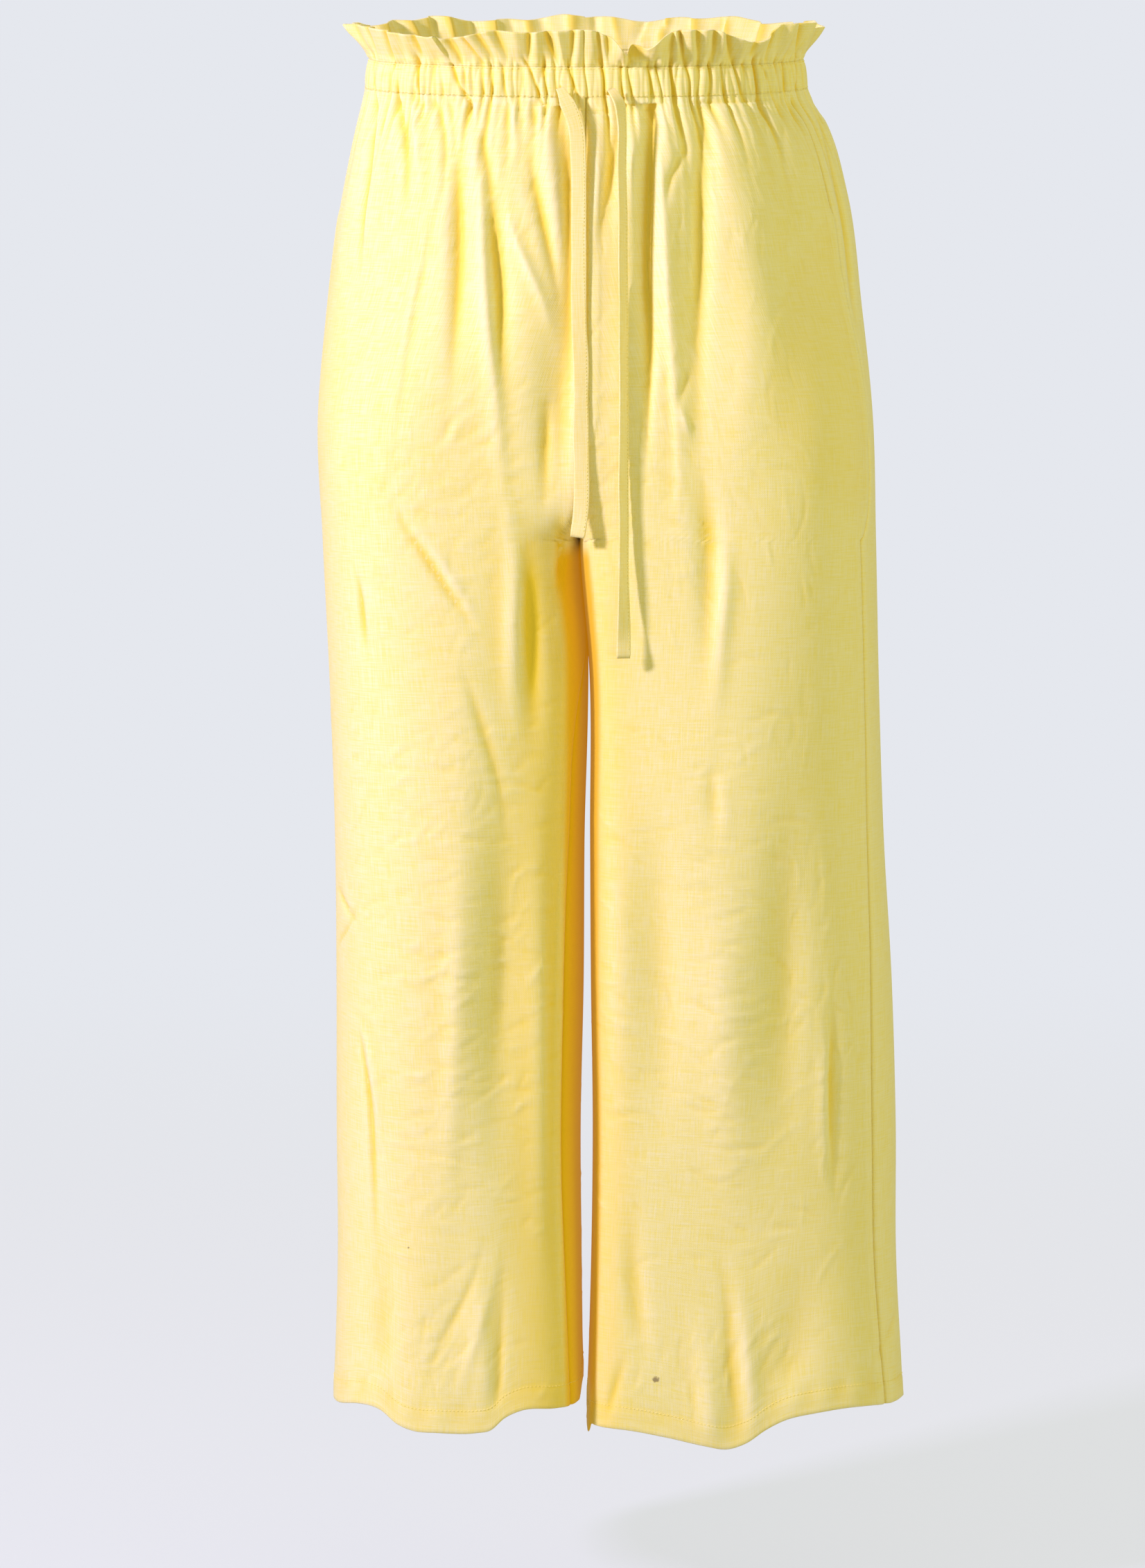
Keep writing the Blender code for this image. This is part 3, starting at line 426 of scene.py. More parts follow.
def through(at, knots, values):
    """A smooth curve through the table's values: a cubic between each two knots, whose slope at
    a knot is the mean slope of its neighbours. The knots may rise or fall."""
    knots, values = np.asarray(knots, float), np.asarray(values, float)
    if knots[0] > knots[-1]:
        knots, values = knots[::-1], values[::-1]
    slopes = np.gradient(values, knots, axis=0)
    at = np.clip(np.asarray(at, float), knots[0], knots[-1])
    low = np.clip(np.searchsorted(knots, at, side="right") - 1, 0, len(knots) - 2)
    span = knots[low + 1] - knots[low]
    s = (at - knots[low]) / span
    if values.ndim > 1:
        s, span = s[..., None], span[..., None]
    return (
        values[low] * (1 + 2 * s) * (1 - s) ** 2
        + values[low + 1] * s**2 * (3 - 2 * s)
        + slopes[low] * span * s * (1 - s) ** 2
        - slopes[low + 1] * span * s**2 * (1 - s)
    )


def column(table, columns, name):
    """One named column of a table, as an array."""
    return np.array([row[columns.index(name)] for row in table])


def read(table, columns, name, at):
    """A named column of a table, read at places along its first column."""
    return through(at, column(table, columns, columns[0]), column(table, columns, name))


def form(name, z):
    """A size of the outline at height z."""
    return read(FORM, FORM_COLUMNS, name, z)


def seam(name, z):
    """A seam's share of the outline, or the rows' slope, at height z."""
    return read(SEAMS, SEAM_COLUMNS, name, z)


def rounded(angle, boxiness):
    """The distance from the middle to a unit oval of the given boxiness, at an angle."""
    power = np.abs(np.cos(angle)) ** boxiness + np.abs(np.sin(angle)) ** boxiness
    return power ** (-1.0 / boxiness)


def covered_by(points):
    """How much of its length a line of points has covered at each of them, in metres."""
    steps = np.linalg.norm(np.diff(points, axis=0), axis=1)
    return np.concatenate([[0.0], np.cumsum(steps)])


def oval(angle, half_width, front, back, boxiness):
    """Level points of an oval about the origin. Angle 0 points to the other half, a quarter
    turn to the front, and half a turn to the outer side."""
    reach = rounded(angle, boxiness)
    depth = np.where(np.sin(angle) > 0.0, front, back)
    return np.stack([-half_width * reach * np.cos(angle), -depth * reach * np.sin(angle)], axis=1)


def outline(side, z, shares):
    """Level points (across, y) of one half at height z, the way they face, the outline's length,
    and how much of it lies before the outer side. Both shapes of a half are told by their reach
    in each direction from the leg's middle: the leg is an oval, and the trunk is half an oval
    with a flat side at the centre seams. Down the trunk the leg's reach takes over, but less so
    near the ends of the outline, which stay on the flat side. The ends follow the crotch curve,
    a quarter of an oval."""
    out, inner = form(f"{side}_out", z), form(f"{side}_in", z)
    front, back = form(f"{side}_front", z), form(f"{side}_back", z)
    middle, half_width = (out + inner) / 2, (out - inner) / 2
    likeness = smooth_step((LEG_SHAPE_START_Z - z) / (LEG_SHAPE_START_Z - CROTCH_Z))

    boxiness = TRUNK_BOXINESS + (LOW_TRUNK_BOXINESS - TRUNK_BOXINESS) * likeness
    trunk = oval(np.linspace(0.5, 1.5, OUTLINE_STEPS) * math.pi, out - inner, front, back, boxiness)
    flat_side = np.linspace(-back, front, OUTLINE_STEPS // 2)[1:-1]
    trunk = np.concatenate([trunk, np.column_stack([np.zeros_like(flat_side), -flat_side])])
    trunk[:, 0] -= half_width
    trunk_angle = np.arctan2(-trunk[:, 1], -trunk[:, 0]) % (2 * math.pi)
    order = np.argsort(trunk_angle)

    down = np.clip((CURVE_START_Z - z) / (CURVE_START_Z - CROTCH_Z), 0.0, 1.0)
    curve = (1.0 - down * down) ** 0.5
    first = math.atan2(front * curve, half_width)
    last = 2 * math.pi - math.atan2(back * curve, half_width)
    angle = np.linspace(first, last, OUTLINE_STEPS + 1)
    trunk_reach = np.interp(
        angle, trunk_angle[order], np.linalg.norm(trunk, axis=1)[order], period=2 * math.pi
    )
    leg_angle = np.linspace(0.0, 2 * math.pi, 4 * OUTLINE_STEPS + 1)
    at_corner = leg_angle % (2 * math.pi) < math.pi / 2
    leg_boxiness = np.where(at_corner, CORNER_BOXINESS[side], LEG_BOXINESS)
    leg = oval(leg_angle, half_width, front, back, leg_boxiness)
    seen_angle = np.unwrap(np.arctan2(-leg[:, 1], -leg[:, 0]))
    leg_reach = np.interp(angle, seen_angle, np.linalg.norm(leg, axis=1))
    narrowing = 1.0 - smooth_step((CURVE_START_Z - z) / (CURVE_START_Z - HELD_END_Z))
    to_end = []
    ends = ((first, front, angle), (2 * math.pi - last, back, 2 * math.pi - angle))
    for end, depth, from_end in ends:
        steady = math.atan2(depth, half_width) * narrowing
        flat_to = (end + steady + math.hypot(end - steady, END_SOFTNESS)) / 2
        to_end.append((from_end - flat_to) / FREED_BY)
    free = smooth_step(np.minimum(*to_end))
    held = smooth_step((CROTCH_Z - z) / (CROTCH_Z - HELD_END_Z))
    reach = trunk_reach + (leg_reach - trunk_reach) * likeness * (free + (1.0 - free) * held)
    points = np.stack([middle - reach * np.cos(angle), -reach * np.sin(angle)], axis=1)

    length = covered_by(points)
    covered = length / length[-1]
    wrapped = np.where((shares > 1.0) & (z < CROTCH_Z), shares - 1.0, shares)
    step = 1.0 / OUTLINE_STEPS
    places, ahead, behind = (
        np.stack([np.interp(at, covered, points[:, k]) for k in (0, 1)], axis=1)
        for at in (wrapped, np.clip(wrapped + step, 0, 1), np.clip(wrapped - step, 0, 1))
    )
    way = ahead - behind
    way /= np.linalg.norm(way, axis=1, keepdims=True)
    before_side = float(np.interp(math.pi, angle, length))
    return places, np.stack([way[:, 1], -way[:, 0]], axis=1), length[-1], before_side


class Cloth:
    """A grid of places on one half's cloth: points, the way they face, their shares, their
    nominal heights, and their girth: metres along the outline, the same at every height at the
    outer side, less in front of it and more behind."""

    def __init__(self, side, shares, heights):
        self.sign = 1.0 if side == "left" else -1.0
        self.shares = np.array(shares)
        self.heights = np.repeat(np.asarray(heights, float)[:, None], self.shares.shape[1], axis=1)
        points, facing, girth = [], [], []
        for row, z in zip(self.shares, heights):
            flat, out, length, before_side = outline(side, z, row)
            points.append(np.column_stack([self.sign * (flat[:, 0] + SEAM_GAP / 2), flat[:, 1]]))
            facing.append(np.column_stack([self.sign * out[:, 0], out[:, 1]]))
            girth.append(row * length - before_side)
        self.level, self.facing = np.array(points), np.array(facing)
        self.girth = np.array(girth) + GIRTH_AT_SIDE
        self.slope = seam("slope", self.heights)

    def points(self, depth):
        """Points on the cloth's outside, moved out by depth along the way that they face."""
        level = self.level + self.facing * depth[..., None]
        x, y = level[..., 0], level[..., 1]
        share = smooth_step((HEM_WAVE_START_Z - self.heights) / (HEM_WAVE_START_Z - HEM_Z))
        front, back = (read(HEM, HEM_COLUMNS, name, x) for name in ("front", "back"))
        between = smooth_step(0.5 + y / (2 * HEM_BLEND))
        hem = front + (back - front) * between
        return np.dstack([x, y, self.heights + self.slope * y + share * hem])

    def normals(self):
        """The way out, along the slope of the rows."""
        return np.dstack([self.facing, self.slope * self.facing[..., 1]])


# ---------------------------------------------------------------- creases on the surface
LOOKUP_HEIGHTS = np.linspace(0.010, HEM_Z, 240)
LOOKUP_SHARES = np.linspace(0.0, 1.0, 401)
CREASE_STEPS = 48
CREASE_REACH = 1.6  # how far beyond three widths a crease is added


def half_table(side):
    """x and girth on one half's outline at every lookup height and share."""
    across, girths = [], []
    for z in LOOKUP_HEIGHTS:
        places, _, length, before_side = outline(side, z, LOOKUP_SHARES)
        across.append(places[:, 0])
        girths.append(LOOKUP_SHARES * length - before_side + GIRTH_AT_SIDE)
    return np.array(across), np.array(girths)


HALVES = {"left": half_table("left"), "right": half_table("right")}


def seen_place(x, height, behind):
    """Where a place seen from in front, or from behind, lies on the cloth: its share and girth.
    The half's outline is searched at the two nearest lookup heights, on the stretch that faces
    the viewer, for the share where it stands at x."""
    across, girths = HALVES["left" if x > 0 else "right"]
    step = LOOKUP_HEIGHTS[0] - LOOKUP_HEIGHTS[1]
    at = np.clip((LOOKUP_HEIGHTS[0] - height) / step, 0, len(LOOKUP_HEIGHTS) - 1.001)
    found = []
    for row in (int(at), int(at) + 1):
        widest = int(np.argmax(across[row]))
        seen = slice(widest, None) if behind else slice(0, widest + 1)
        xs, shares = across[row][seen], LOOKUP_SHARES[seen]
        if behind:
            xs, shares = xs[::-1], shares[::-1]
        first = max(int(np.argmax(xs > xs[0] + 1e-5)) - 1, 0) if xs[-1] > xs[0] else 0
        share = np.interp(abs(x), xs[first:], shares[first:])
        found.append((share, np.interp(share, LOOKUP_SHARES, girths[row])))
    low, high = np.array(found)
    return low + (high - low) * (at - int(at))


def signed_girth(x, z, behind):
    """The girth, below 0 on the wearer's right, and the nominal height of seen places."""
    heights = z - seam("slope", z) * (BACK_Y if behind else FRONT_Y)
    girths = [
        math.copysign(seen_place(at, height, behind)[1], at) for at, height in zip(x, heights)
    ]
    return np.array(girths), heights


def crease_lines(table, behind):
    """The table's creases with their lines resampled on the cloth."""
    lines = []
    for row in table:
        crease = dict(zip(CREASE_COLUMNS, row))
        line = np.array(crease["line"], float)
        knots = covered_by(line)
        line = through(np.linspace(0, knots[-1], CREASE_STEPS), knots, line)
        if behind:
            x, z = line[:, 0] / 1000, line[:, 1] / 1000
        else:
            x, z = front_place(line[:, 0], line[:, 1])
        girth, height = signed_girth(x, z, behind)
        lines.append((crease, girth, height))
    return lines


def bell(across, left, right, power):
    """1 on the line and falling to each side, over its own width there."""
    width = np.where(across < 0, left, right)
    return np.exp(-np.abs(across / width) ** power)


def add_crease(depth, girth, heights, crease, line_girth, line_height):
    """Adds one crease to the depths of a grid. A steep line is followed by height, any other by
    girth. Across is measured square to the line, and its rise along the line is level at both
    ends unless it starts full."""
    left, right, deep = crease["left"] / 1000, crease["right"] / 1000, crease["depth"] / 1000
    steep = np.ptp(line_height) >= np.ptp(line_girth)
    by, off = (line_height, line_girth) if steep else (line_girth, line_height)
    at, other = (heights, girth) if steep else (girth, heights)
    order = np.argsort(by)
    by, off = by[order], off[order]
    middle = np.interp(at, by, off)
    near = (at > by[0]) & (at < by[-1])
    near &= np.abs(other - middle) < 3 * max(left, right) * CREASE_REACH
    if not near.any():
        return
    lean = np.interp(at[near], by, np.gradient(off, by))
    across = (other[near] - middle[near]) / np.sqrt(1 + lean**2)
    if not steep:
        across = -across
    along = (at[near] - by[0]) / (by[-1] - by[0])
    if steep or off[0] <= off[-1]:
        along = 1.0 - along
    peak, start = crease["peak"], crease["start"]
    rise = np.where(
        along < peak,
        start + (1 - start) * smooth_step(along / peak),
        smooth_step((1 - along) / (1 - peak)),
    )
    depth[near] += deep * rise * bell(across, left, right, crease["power"])


def crumple_marks(rng):
    """Small creases: girth, height, angle, half length, width, depth and bend of each."""
    marks = []
    for row in CRUMPLES:
        patch = dict(zip(CRUMPLE_COLUMNS, row))
        count = patch["count"]
        px, py = (
            patch[at] + rng.normal(0, CRUMPLE_SPREAD[size], count) * patch[size]
            for at, size in (("px", "wide"), ("py", "tall"))
        )
        girth, height = signed_girth(*front_place(px, py), False)
        marks.append(np.column_stack([
            girth, height,
            np.radians(patch["degrees"] + rng.normal(0, CRUMPLE_STRAY, count)),
            patch["length"] / MM_PER_HALF * rng.lognormal(0, CRUMPLE_LENGTH_SPREAD, count),
            rng.uniform(*CRUMPLE_WIDTHS, count),
            patch["depth"] / 1000 * rng.uniform(*CRUMPLE_DEPTH_SHARES, count)
            * rng.choice([-1, 1], count, p=CRUMPLE_SIGNS),
            rng.normal(0, CRUMPLE_BEND, count),
        ]))
    count = BACK_CRUMPLES
    side = rng.choice([-1.0, 1.0], count)
    marks.append(np.column_stack([
        side * (GIRTH_AT_SIDE + rng.uniform(*BACK_GIRTHS, count)),
        rng.uniform(*BACK_HEIGHTS, count),
        rng.normal(0, BACK_STRAY, count), rng.uniform(*BACK_HALF_LENGTHS, count),
        rng.uniform(*BACK_WIDTHS, count),
        rng.uniform(*BACK_DEPTHS, count) * rng.choice([-1, 1], count, p=CRUMPLE_SIGNS),
        rng.normal(0, CRUMPLE_BEND, count),
    ]))
    return np.concatenate(marks)


def add_crumples(depth, girth, heights, marks):
    """Adds the small creases that lie on a grid, each within its own few rows and columns."""
    row_heights = -heights[:, 0]
    for at, height, angle, half, width, deep, bend in marks:
        reach = CRUMPLE_REACH * half
        rows = slice(*np.searchsorted(row_heights, [-height - reach, -height + reach]))
        if rows.stop <= rows.start:
            continue
        line = girth[(rows.start + rows.stop) // 2]
        if not line.min() < at < line.max():
            continue
        sign = 1 if line[-1] > line[0] else -1
        columns = slice(*np.searchsorted(sign * line, [sign * at - reach, sign * at + reach]))
        du, dh = girth[rows, columns] - at, heights[rows, columns] - height
        along = du * math.cos(angle) + dh * math.sin(angle)
        across = dh * math.cos(angle) - du * math.sin(angle) + bend * along**2
        depth[rows, columns] += deep * np.exp(-((across / width) ** 2) - (along / half) ** 2)


# ---------------------------------------------------------------- gathers
# Dark slits in the casing that the photograph shows: their pixel at its upper and lower stitches,
# their depth and width in mm, and how far they run on below it, in mm.
# Columns: px_top, px_low, depth, width, reach
SLITS = (
    (536, 541, 2.2, 2.2, 40), (566, 573, 1.8, 1.8, 35), (600, 604, 3.4, 1.1, 30),
    (632, 640, 1.6, 1.6, 45), (649, 672, 3.2, 1.3, 35), (664, 677, 1.8, 1.2, 20),
    (680, 682, 1.8, 1.2, 12), (693, 697, 2.0, 1.6, 30), (707, 710, 2.6, 1.1, 22),
    (722, 733, 2.0, 1.2, 20), (746, 749, 1.6, 1.4, 26), (761, 781, 3.0, 1.1, 16),
    (785, 789, 3.4, 1.1, 18), (800, 806, 2.2, 1.2, 30), (821, 833, 2.8, 1.2, 26),
    (868, 873, 3.6, 1.2, 30), (896, 900, 3.0, 1.1, 14), (907, 911, 2.2, 1.0, 18),
    (937, 938, 2.8, 1.2, 34), (949, 954, 2.8, 1.1, 24), (970, 970, 3.4, 1.2, 30),
    (992, 995, 3.0, 1.3, 30), (1026, 1024, 2.2, 1.2, 22), (1043, 1044, 2.8, 1.1, 26),
    (1062, 1070, 1.6, 1.2, 18), (1092, 1093, 4.2, 1.1, 36), (1103, 1112, 1.8, 1.2, 26),
    (1122, 1124, 2.2, 1.2, 30), (1133, 1134, 2.2, 1.2, 24), (1150, 1150, 1.8, 1.2, 34),
)
CASING_TOP_PY, CASING_LOW_PY = 90, 135


def waist_girths(px, py):
    """The girth on the casing of pixels of the photograph."""
    x, _ = front_place(px, py)
    shares = [math.copysign(seen_place(at, 0.0, False)[0], at) for at in x]
    return np.array(shares) * WAIST_GIRTH_HALF


def round_waist(girth):
    """A girth, or a distance along it, brought back to the nearer way round the waist."""
    return (girth + WAIST_GIRTH_HALF) % (2 * WAIST_GIRTH_HALF) - WAIST_GIRTH_HALF


def all_gathers(rng):
    """Every gather: girth at the casing's top and bottom, depth, width and reach below."""
    slits = np.array(SLITS, float)
    top = waist_girths(slits[:, 0], np.full(len(slits), CASING_TOP_PY))
    low = waist_girths(slits[:, 1], np.full(len(slits), CASING_LOW_PY))
    shown = np.column_stack([top, low, slits[:, 2:] / 1000])
    at = np.linspace(-1, 1, GATHER_COUNT, endpoint=False) * WAIST_GIRTH_HALF
    stray = rng.uniform(-GATHER_STRAY, GATHER_STRAY, GATHER_COUNT)
    at += stray * 2 * WAIST_GIRTH_HALF / GATHER_COUNT
    seen = np.abs(at) < SEEN_GIRTH
    deep = rng.uniform(*GATHER_DEPTHS, GATHER_COUNT) * np.where(seen, SEEN_SHARE, 1.0)
    drawn = np.column_stack([
        at, at + rng.normal(0, GATHER_LEAN, GATHER_COUNT), deep,
        rng.uniform(*GATHER_WIDTHS, GATHER_COUNT), rng.uniform(*GATHER_REACHES, GATHER_COUNT),
    ])
    return np.concatenate([shown, drawn])


def gather_depth(at, rise):
    """How far the gathers sink the cloth at girths along the casing, rise metres above its lower
    stitches. They are pinched at both rows of stitches, run on below as they widen, and end soon
    above."""
    total = np.zeros_like(at)
    share = rise / CASING_HEIGHT
    below, above = np.clip(-rise, 0, None), np.clip(rise - CASING_HEIGHT, 0, None)
    pinched = 1 - PINCH + PINCH * np.clip(2 * share - 1, -1, 1) ** 2
    for top, low, deep, width, reach in GATHERS:
        middle = low + (top - low) * np.clip(share, -0.3, 1.3)
        sway = np.sin(4.0 * share + 900.0 * low)  # each with its own phase, told by its girth
        middle = middle + GATHER_SWAY * sway * np.exp(-below / 0.02)
        wide = width * (1 + below / WIDENS_BELOW + above / WIDENS_ABOVE)
        fading = np.exp(-((below / reach) ** 2) - (above / FADES_ABOVE) ** 2)
        section = np.exp(-np.abs(round_waist(at - middle) / wide) ** GATHER_POWER)
        total -= deep * pinched * fading * section
    return total


# ---------------------------------------------------------------- meshes


def along_line(at, run, points):
    """Places at the lengths given, of a line of points whose own lengths are in run."""
    return np.stack([np.interp(at, run, points[:, k]) for k in range(3)], -1)


def joined(index):
    """A grid of vertices whose last column meets its first."""
    return np.hstack([index, index[:, :1]])


def quads_on(index):
    """The quads between neighbouring rows and columns of a grid of vertices."""
    corners = index[:-1, :-1], index[1:, :-1], index[1:, 1:], index[:-1, 1:]
    return np.stack(corners, -1).reshape(-1, 4)


def closed_shell(outer, inner, ring=False, turned=False):
    """Vertices, quads and triangles of a shell between an outer grid of points and an inner one
    that has every second row and column of it. A ring's last column meets its first."""
    rows, columns = outer.shape[:2]
    few_rows, few_columns = inner.shape[:2]
    index = np.arange(rows * columns).reshape(rows, columns)
    few = rows * columns + np.arange(few_rows * few_columns).reshape(few_rows, few_columns)
    if ring:
        index, few = joined(index), joined(few)

    def rim(fine, coarse):
        first, middle, last = fine[:-1:2], fine[1::2], fine[2::2]
        near, far = coarse[:-1], coarse[1:]
        return np.concatenate([
            np.stack([first, middle, near], -1),
            np.stack([middle, far, near], -1),
            np.stack([middle, last, far], -1),
        ])

    triangles = [rim(index[0], few[0]), rim(index[-1][::-1], few[-1][::-1])]
    if not ring:
        triangles += [rim(index[:, 0][::-1], few[:, 0][::-1]), rim(index[:, -1], few[:, -1])]
    quads = np.concatenate([quads_on(index), quads_on(few)[:, ::-1]])
    triangles = np.concatenate(triangles)
    if turned:
        quads, triangles = quads[:, ::-1], triangles[:, ::-1]
    return np.concatenate([outer.reshape(-1, 3), inner.reshape(-1, 3)]), quads, triangles


def new_piece(name, points, quads, triangles, material, uv=None, values=None):
    """A smooth object of the given faces, with a UV map in metres and named values per vertex."""
    mesh = bpy.data.meshes.new(name)
    corners = np.concatenate([quads.ravel(), triangles.ravel()]).astype(np.int32)
    starts = np.concatenate([
        np.arange(len(quads)) * 4, len(quads) * 4 + np.arange(len(triangles)) * 3
    ]).astype(np.int32)
    mesh.vertices.add(len(points))
    mesh.vertices.foreach_set("co", np.ascontiguousarray(points, np.float32).ravel())
    mesh.loops.add(len(corners))
    mesh.loops.foreach_set("vertex_index", corners)
    mesh.polygons.add(len(starts))
    mesh.polygons.foreach_set("loop_start", starts)
    mesh.update(calc_edges=True)
    if uv is not None:
        layer = mesh.uv_layers.new(name="cloth")
        layer.uv.foreach_set("vector", np.ascontiguousarray(uv[corners], np.float32).ravel())
    for key, value in (values or {}).items():
        attribute = mesh.attributes.new(key, "FLOAT", "POINT")
        attribute.data.foreach_set("value", np.ascontiguousarray(value, np.float32))
    mesh.validate()
    mesh.shade_smooth()
    mesh.materials.append(material)
    piece = bpy.data.objects.new(name, mesh)
    bpy.context.scene.collection.objects.link(piece)
    return piece


def every_second(grid):
    """The rows and columns of a grid that the shell's inner side keeps."""
    return grid[::2, ::2]


def stand_for(made, cad_name):
    """Puts a piece in the place of its node of the model."""
    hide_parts(cad_name)
    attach(made, "root")


def shell_piece(name, cad_name, slot, outer, inner, uv, values, material, **shape):
    """A closed shell of cloth that stands for a node of the model, with its UV map in metres and
    its named values, all given as grids for its outer side."""
    points, quads, triangles = closed_shell(outer, every_second(inner), **shape)
    uv = np.concatenate([uv.reshape(-1, 2), every_second(uv).reshape(-1, 2)])
    values = {
        key: np.concatenate([grid.ravel(), every_second(grid).ravel()])
        for key, grid in values.items()
    }
    made = new_piece(name, points, quads, triangles, material, uv, values)
    stand_for(made, cad_name)
    return made


def outside(piece):
    """Turns a closed piece's faces out."""
    shape = bmesh.new()
    shape.from_mesh(piece.data)
    bmesh.ops.recalc_face_normals(shape, faces=shape.faces)
    shape.to_mesh(piece.data)
    shape.free()


# ---------------------------------------------------------------- materials
CLOTH = (0.90, 0.775, 0.19)
# painted shade: the deeper, warmer colour given to the cloth in its folds
CLOTH_IN_PAINTED_SHADE = (0.88, 0.645, 0.03)
# the pale colour of thick threads and broad unevenness, also used as a painted highlight on ridges
CLOTH_PALE = (0.93, 0.85, 0.45)
THREAD = (0.93, 0.78, 0.24)
# painted shade between the legs: a saturated orange base colour for cloth that faces inwards there
PAINTED_SHADE_BETWEEN_LEGS = (0.62, 0.39, 0.0)
PAINTED_GLOW_THROUGH_CLOTH = (0.18, 0.092, 0.0)  # painted glow: emission that stands in for light coming through the cloth between the legs


def node(tree, kind, inputs=None, **settings):
    """A node with its settings, and its sockets' values or links."""
    made = tree.nodes.new(kind)
    for key, value in settings.items():
        setattr(made, key, value)
    for key, value in (inputs or {}).items():
        if isinstance(value, bpy.types.NodeSocket):
            tree.links.new(value, made.inputs[key])
        else:
            made.inputs[key].default_value = value
    return made


def maths(tree, operation, *values):
    """The result of a Math node."""
    return node(tree, "ShaderNodeMath", dict(enumerate(values)), operation=operation).outputs[0]


def mixed(tree, share, first, second):
    """A colour between two."""
    inputs = {0: share, 6: first, 7: second}
    return node(tree, "ShaderNodeMix", inputs, data_type="RGBA").outputs[2]


def principled(name, values):
    """A material, its nodes and its shader, with values set on the shader's own sockets."""
    material = bpy.data.materials.new(name)
    material.use_nodes = True
    shader = material.node_tree.nodes["Principled BSDF"]
    for label, value in values.items():
        shader.inputs[label].default_value = value
    return material, material.node_tree, shader


def group(name, inputs, outputs):
    """An empty shader node group with its sockets, and its two end nodes."""
    tree = bpy.data.node_groups.new(name, "ShaderNodeTree")
    for label, kind, value in inputs:
        socket = tree.interface.new_socket(name=label, in_out="INPUT", socket_type=kind)
        if value is not None:
            socket.default_value = value
    for label, kind in outputs:
        tree.interface.new_socket(name=label, in_out="OUTPUT", socket_type=kind)
    return tree, tree.nodes.new("NodeGroupInput"), tree.nodes.new("NodeGroupOutput")


def weave_group():
    """Plain weave on a UV map in metres. The threads' height is a product of two waves, one
    along each thread system, and the tone comes from slubs: noise drawn out along both."""
    tree, start, end = group(
        "linen weave",
        [("Vector", "NodeSocketVector", None), ("Pitch", "NodeSocketFloat", 0.0007),
         ("Slub", "NodeSocketFloat", 0.0009)],
        [("Height", "NodeSocketFloat"), ("Tone", "NodeSocketFloat")],
    )
    parts = node(tree, "ShaderNodeSeparateXYZ", {"Vector": start.outputs["Vector"]})
    x, y = parts.outputs["X"], parts.outputs["Y"]
    turns = maths(tree, "DIVIDE", math.pi, start.outputs["Pitch"])
    warp = maths(tree, "SINE", maths(tree, "MULTIPLY", x, turns))
    weft = maths(tree, "SINE", maths(tree, "MULTIPLY", y, turns))
    threads = maths(tree, "MULTIPLY", warp, weft)
    fine = maths(tree, "DIVIDE", 1.0, start.outputs["Slub"])
    slubs = []
    for across, down in ((0.05, 1.0), (1.0, 0.05)):
        stretched = node(tree, "ShaderNodeCombineXYZ", {
            "X": maths(tree, "MULTIPLY", maths(tree, "MULTIPLY", x, fine), across),
            "Y": maths(tree, "MULTIPLY", maths(tree, "MULTIPLY", y, fine), down),
        })
        noise = node(
            tree, "ShaderNodeTexNoise",
            {"Vector": stretched.outputs[0], "Scale": 1.0, "Detail": 1.0, "Roughness": 0.6},
        )
        slubs.append(noise.outputs["Fac"])
    tone = maths(tree, "MULTIPLY", maths(tree, "ADD", slubs[0], slubs[1]), 0.5)
    threads, thick = maths(tree, "MULTIPLY", threads, 0.35), maths(tree, "MULTIPLY", tone, 3.0)
    height = maths(tree, "ADD", threads, thick)
    tree.links.new(height, end.inputs["Height"])
    tree.links.new(tone, end.inputs["Tone"])
    return tree


def tint_group():
    """The cloth's colour from its slubs and its broad unevenness, with painted light and shade by
    how far it lies in a fold: paler on thick threads, a painted highlight on ridges, and painted
    shade, deeper and warmer, in hollows."""
    tree, start, end = group(
        "linen tint",
        [("Tone", "NodeSocketFloat", 0.5), ("Hollow", "NodeSocketFloat", 0.0),
         ("Cloth", "NodeSocketColor", (*CLOTH, 1)), ("Deep", "NodeSocketColor", (*CLOTH_IN_PAINTED_SHADE, 1)),
         ("Pale", "NodeSocketColor", (*CLOTH_PALE, 1))],
        [("Color", "NodeSocketColor")],
    )
    where = node(tree, "ShaderNodeTexCoord")
    broad = node(
        tree, "ShaderNodeTexNoise",
        {"Vector": where.outputs["Object"], "Scale": 14.0, "Detail": 1.0, "Roughness": 0.6},
    )
    pale = node(tree, "ShaderNodeMapRange", {
        "Value": start.outputs["Tone"], "From Min": 0.36, "From Max": 0.66,
        "To Min": 0.0, "To Max": 0.75,
    })
    # painted highlight: ridges are given the pale colour
    painted_ridge_highlight = maths(tree, "MAXIMUM", maths(tree, "MULTIPLY", start.outputs["Hollow"], -0.55), 0.0)
    uneven = maths(tree, "MULTIPLY", broad.outputs["Fac"], 0.22)
    pale_share = maths(tree, "ADD", maths(tree, "ADD", pale.outputs[0], uneven), painted_ridge_highlight)
    colour = mixed(tree, pale_share, start.outputs["Cloth"], start.outputs["Pale"])
    # painted shade: hollows are given the deeper, warmer colour
    colour = mixed(tree, start.outputs["Hollow"], colour, start.outputs["Deep"])
    tree.links.new(colour, end.inputs["Color"])
    return tree


WEAVE, TINT = weave_group(), tint_group()


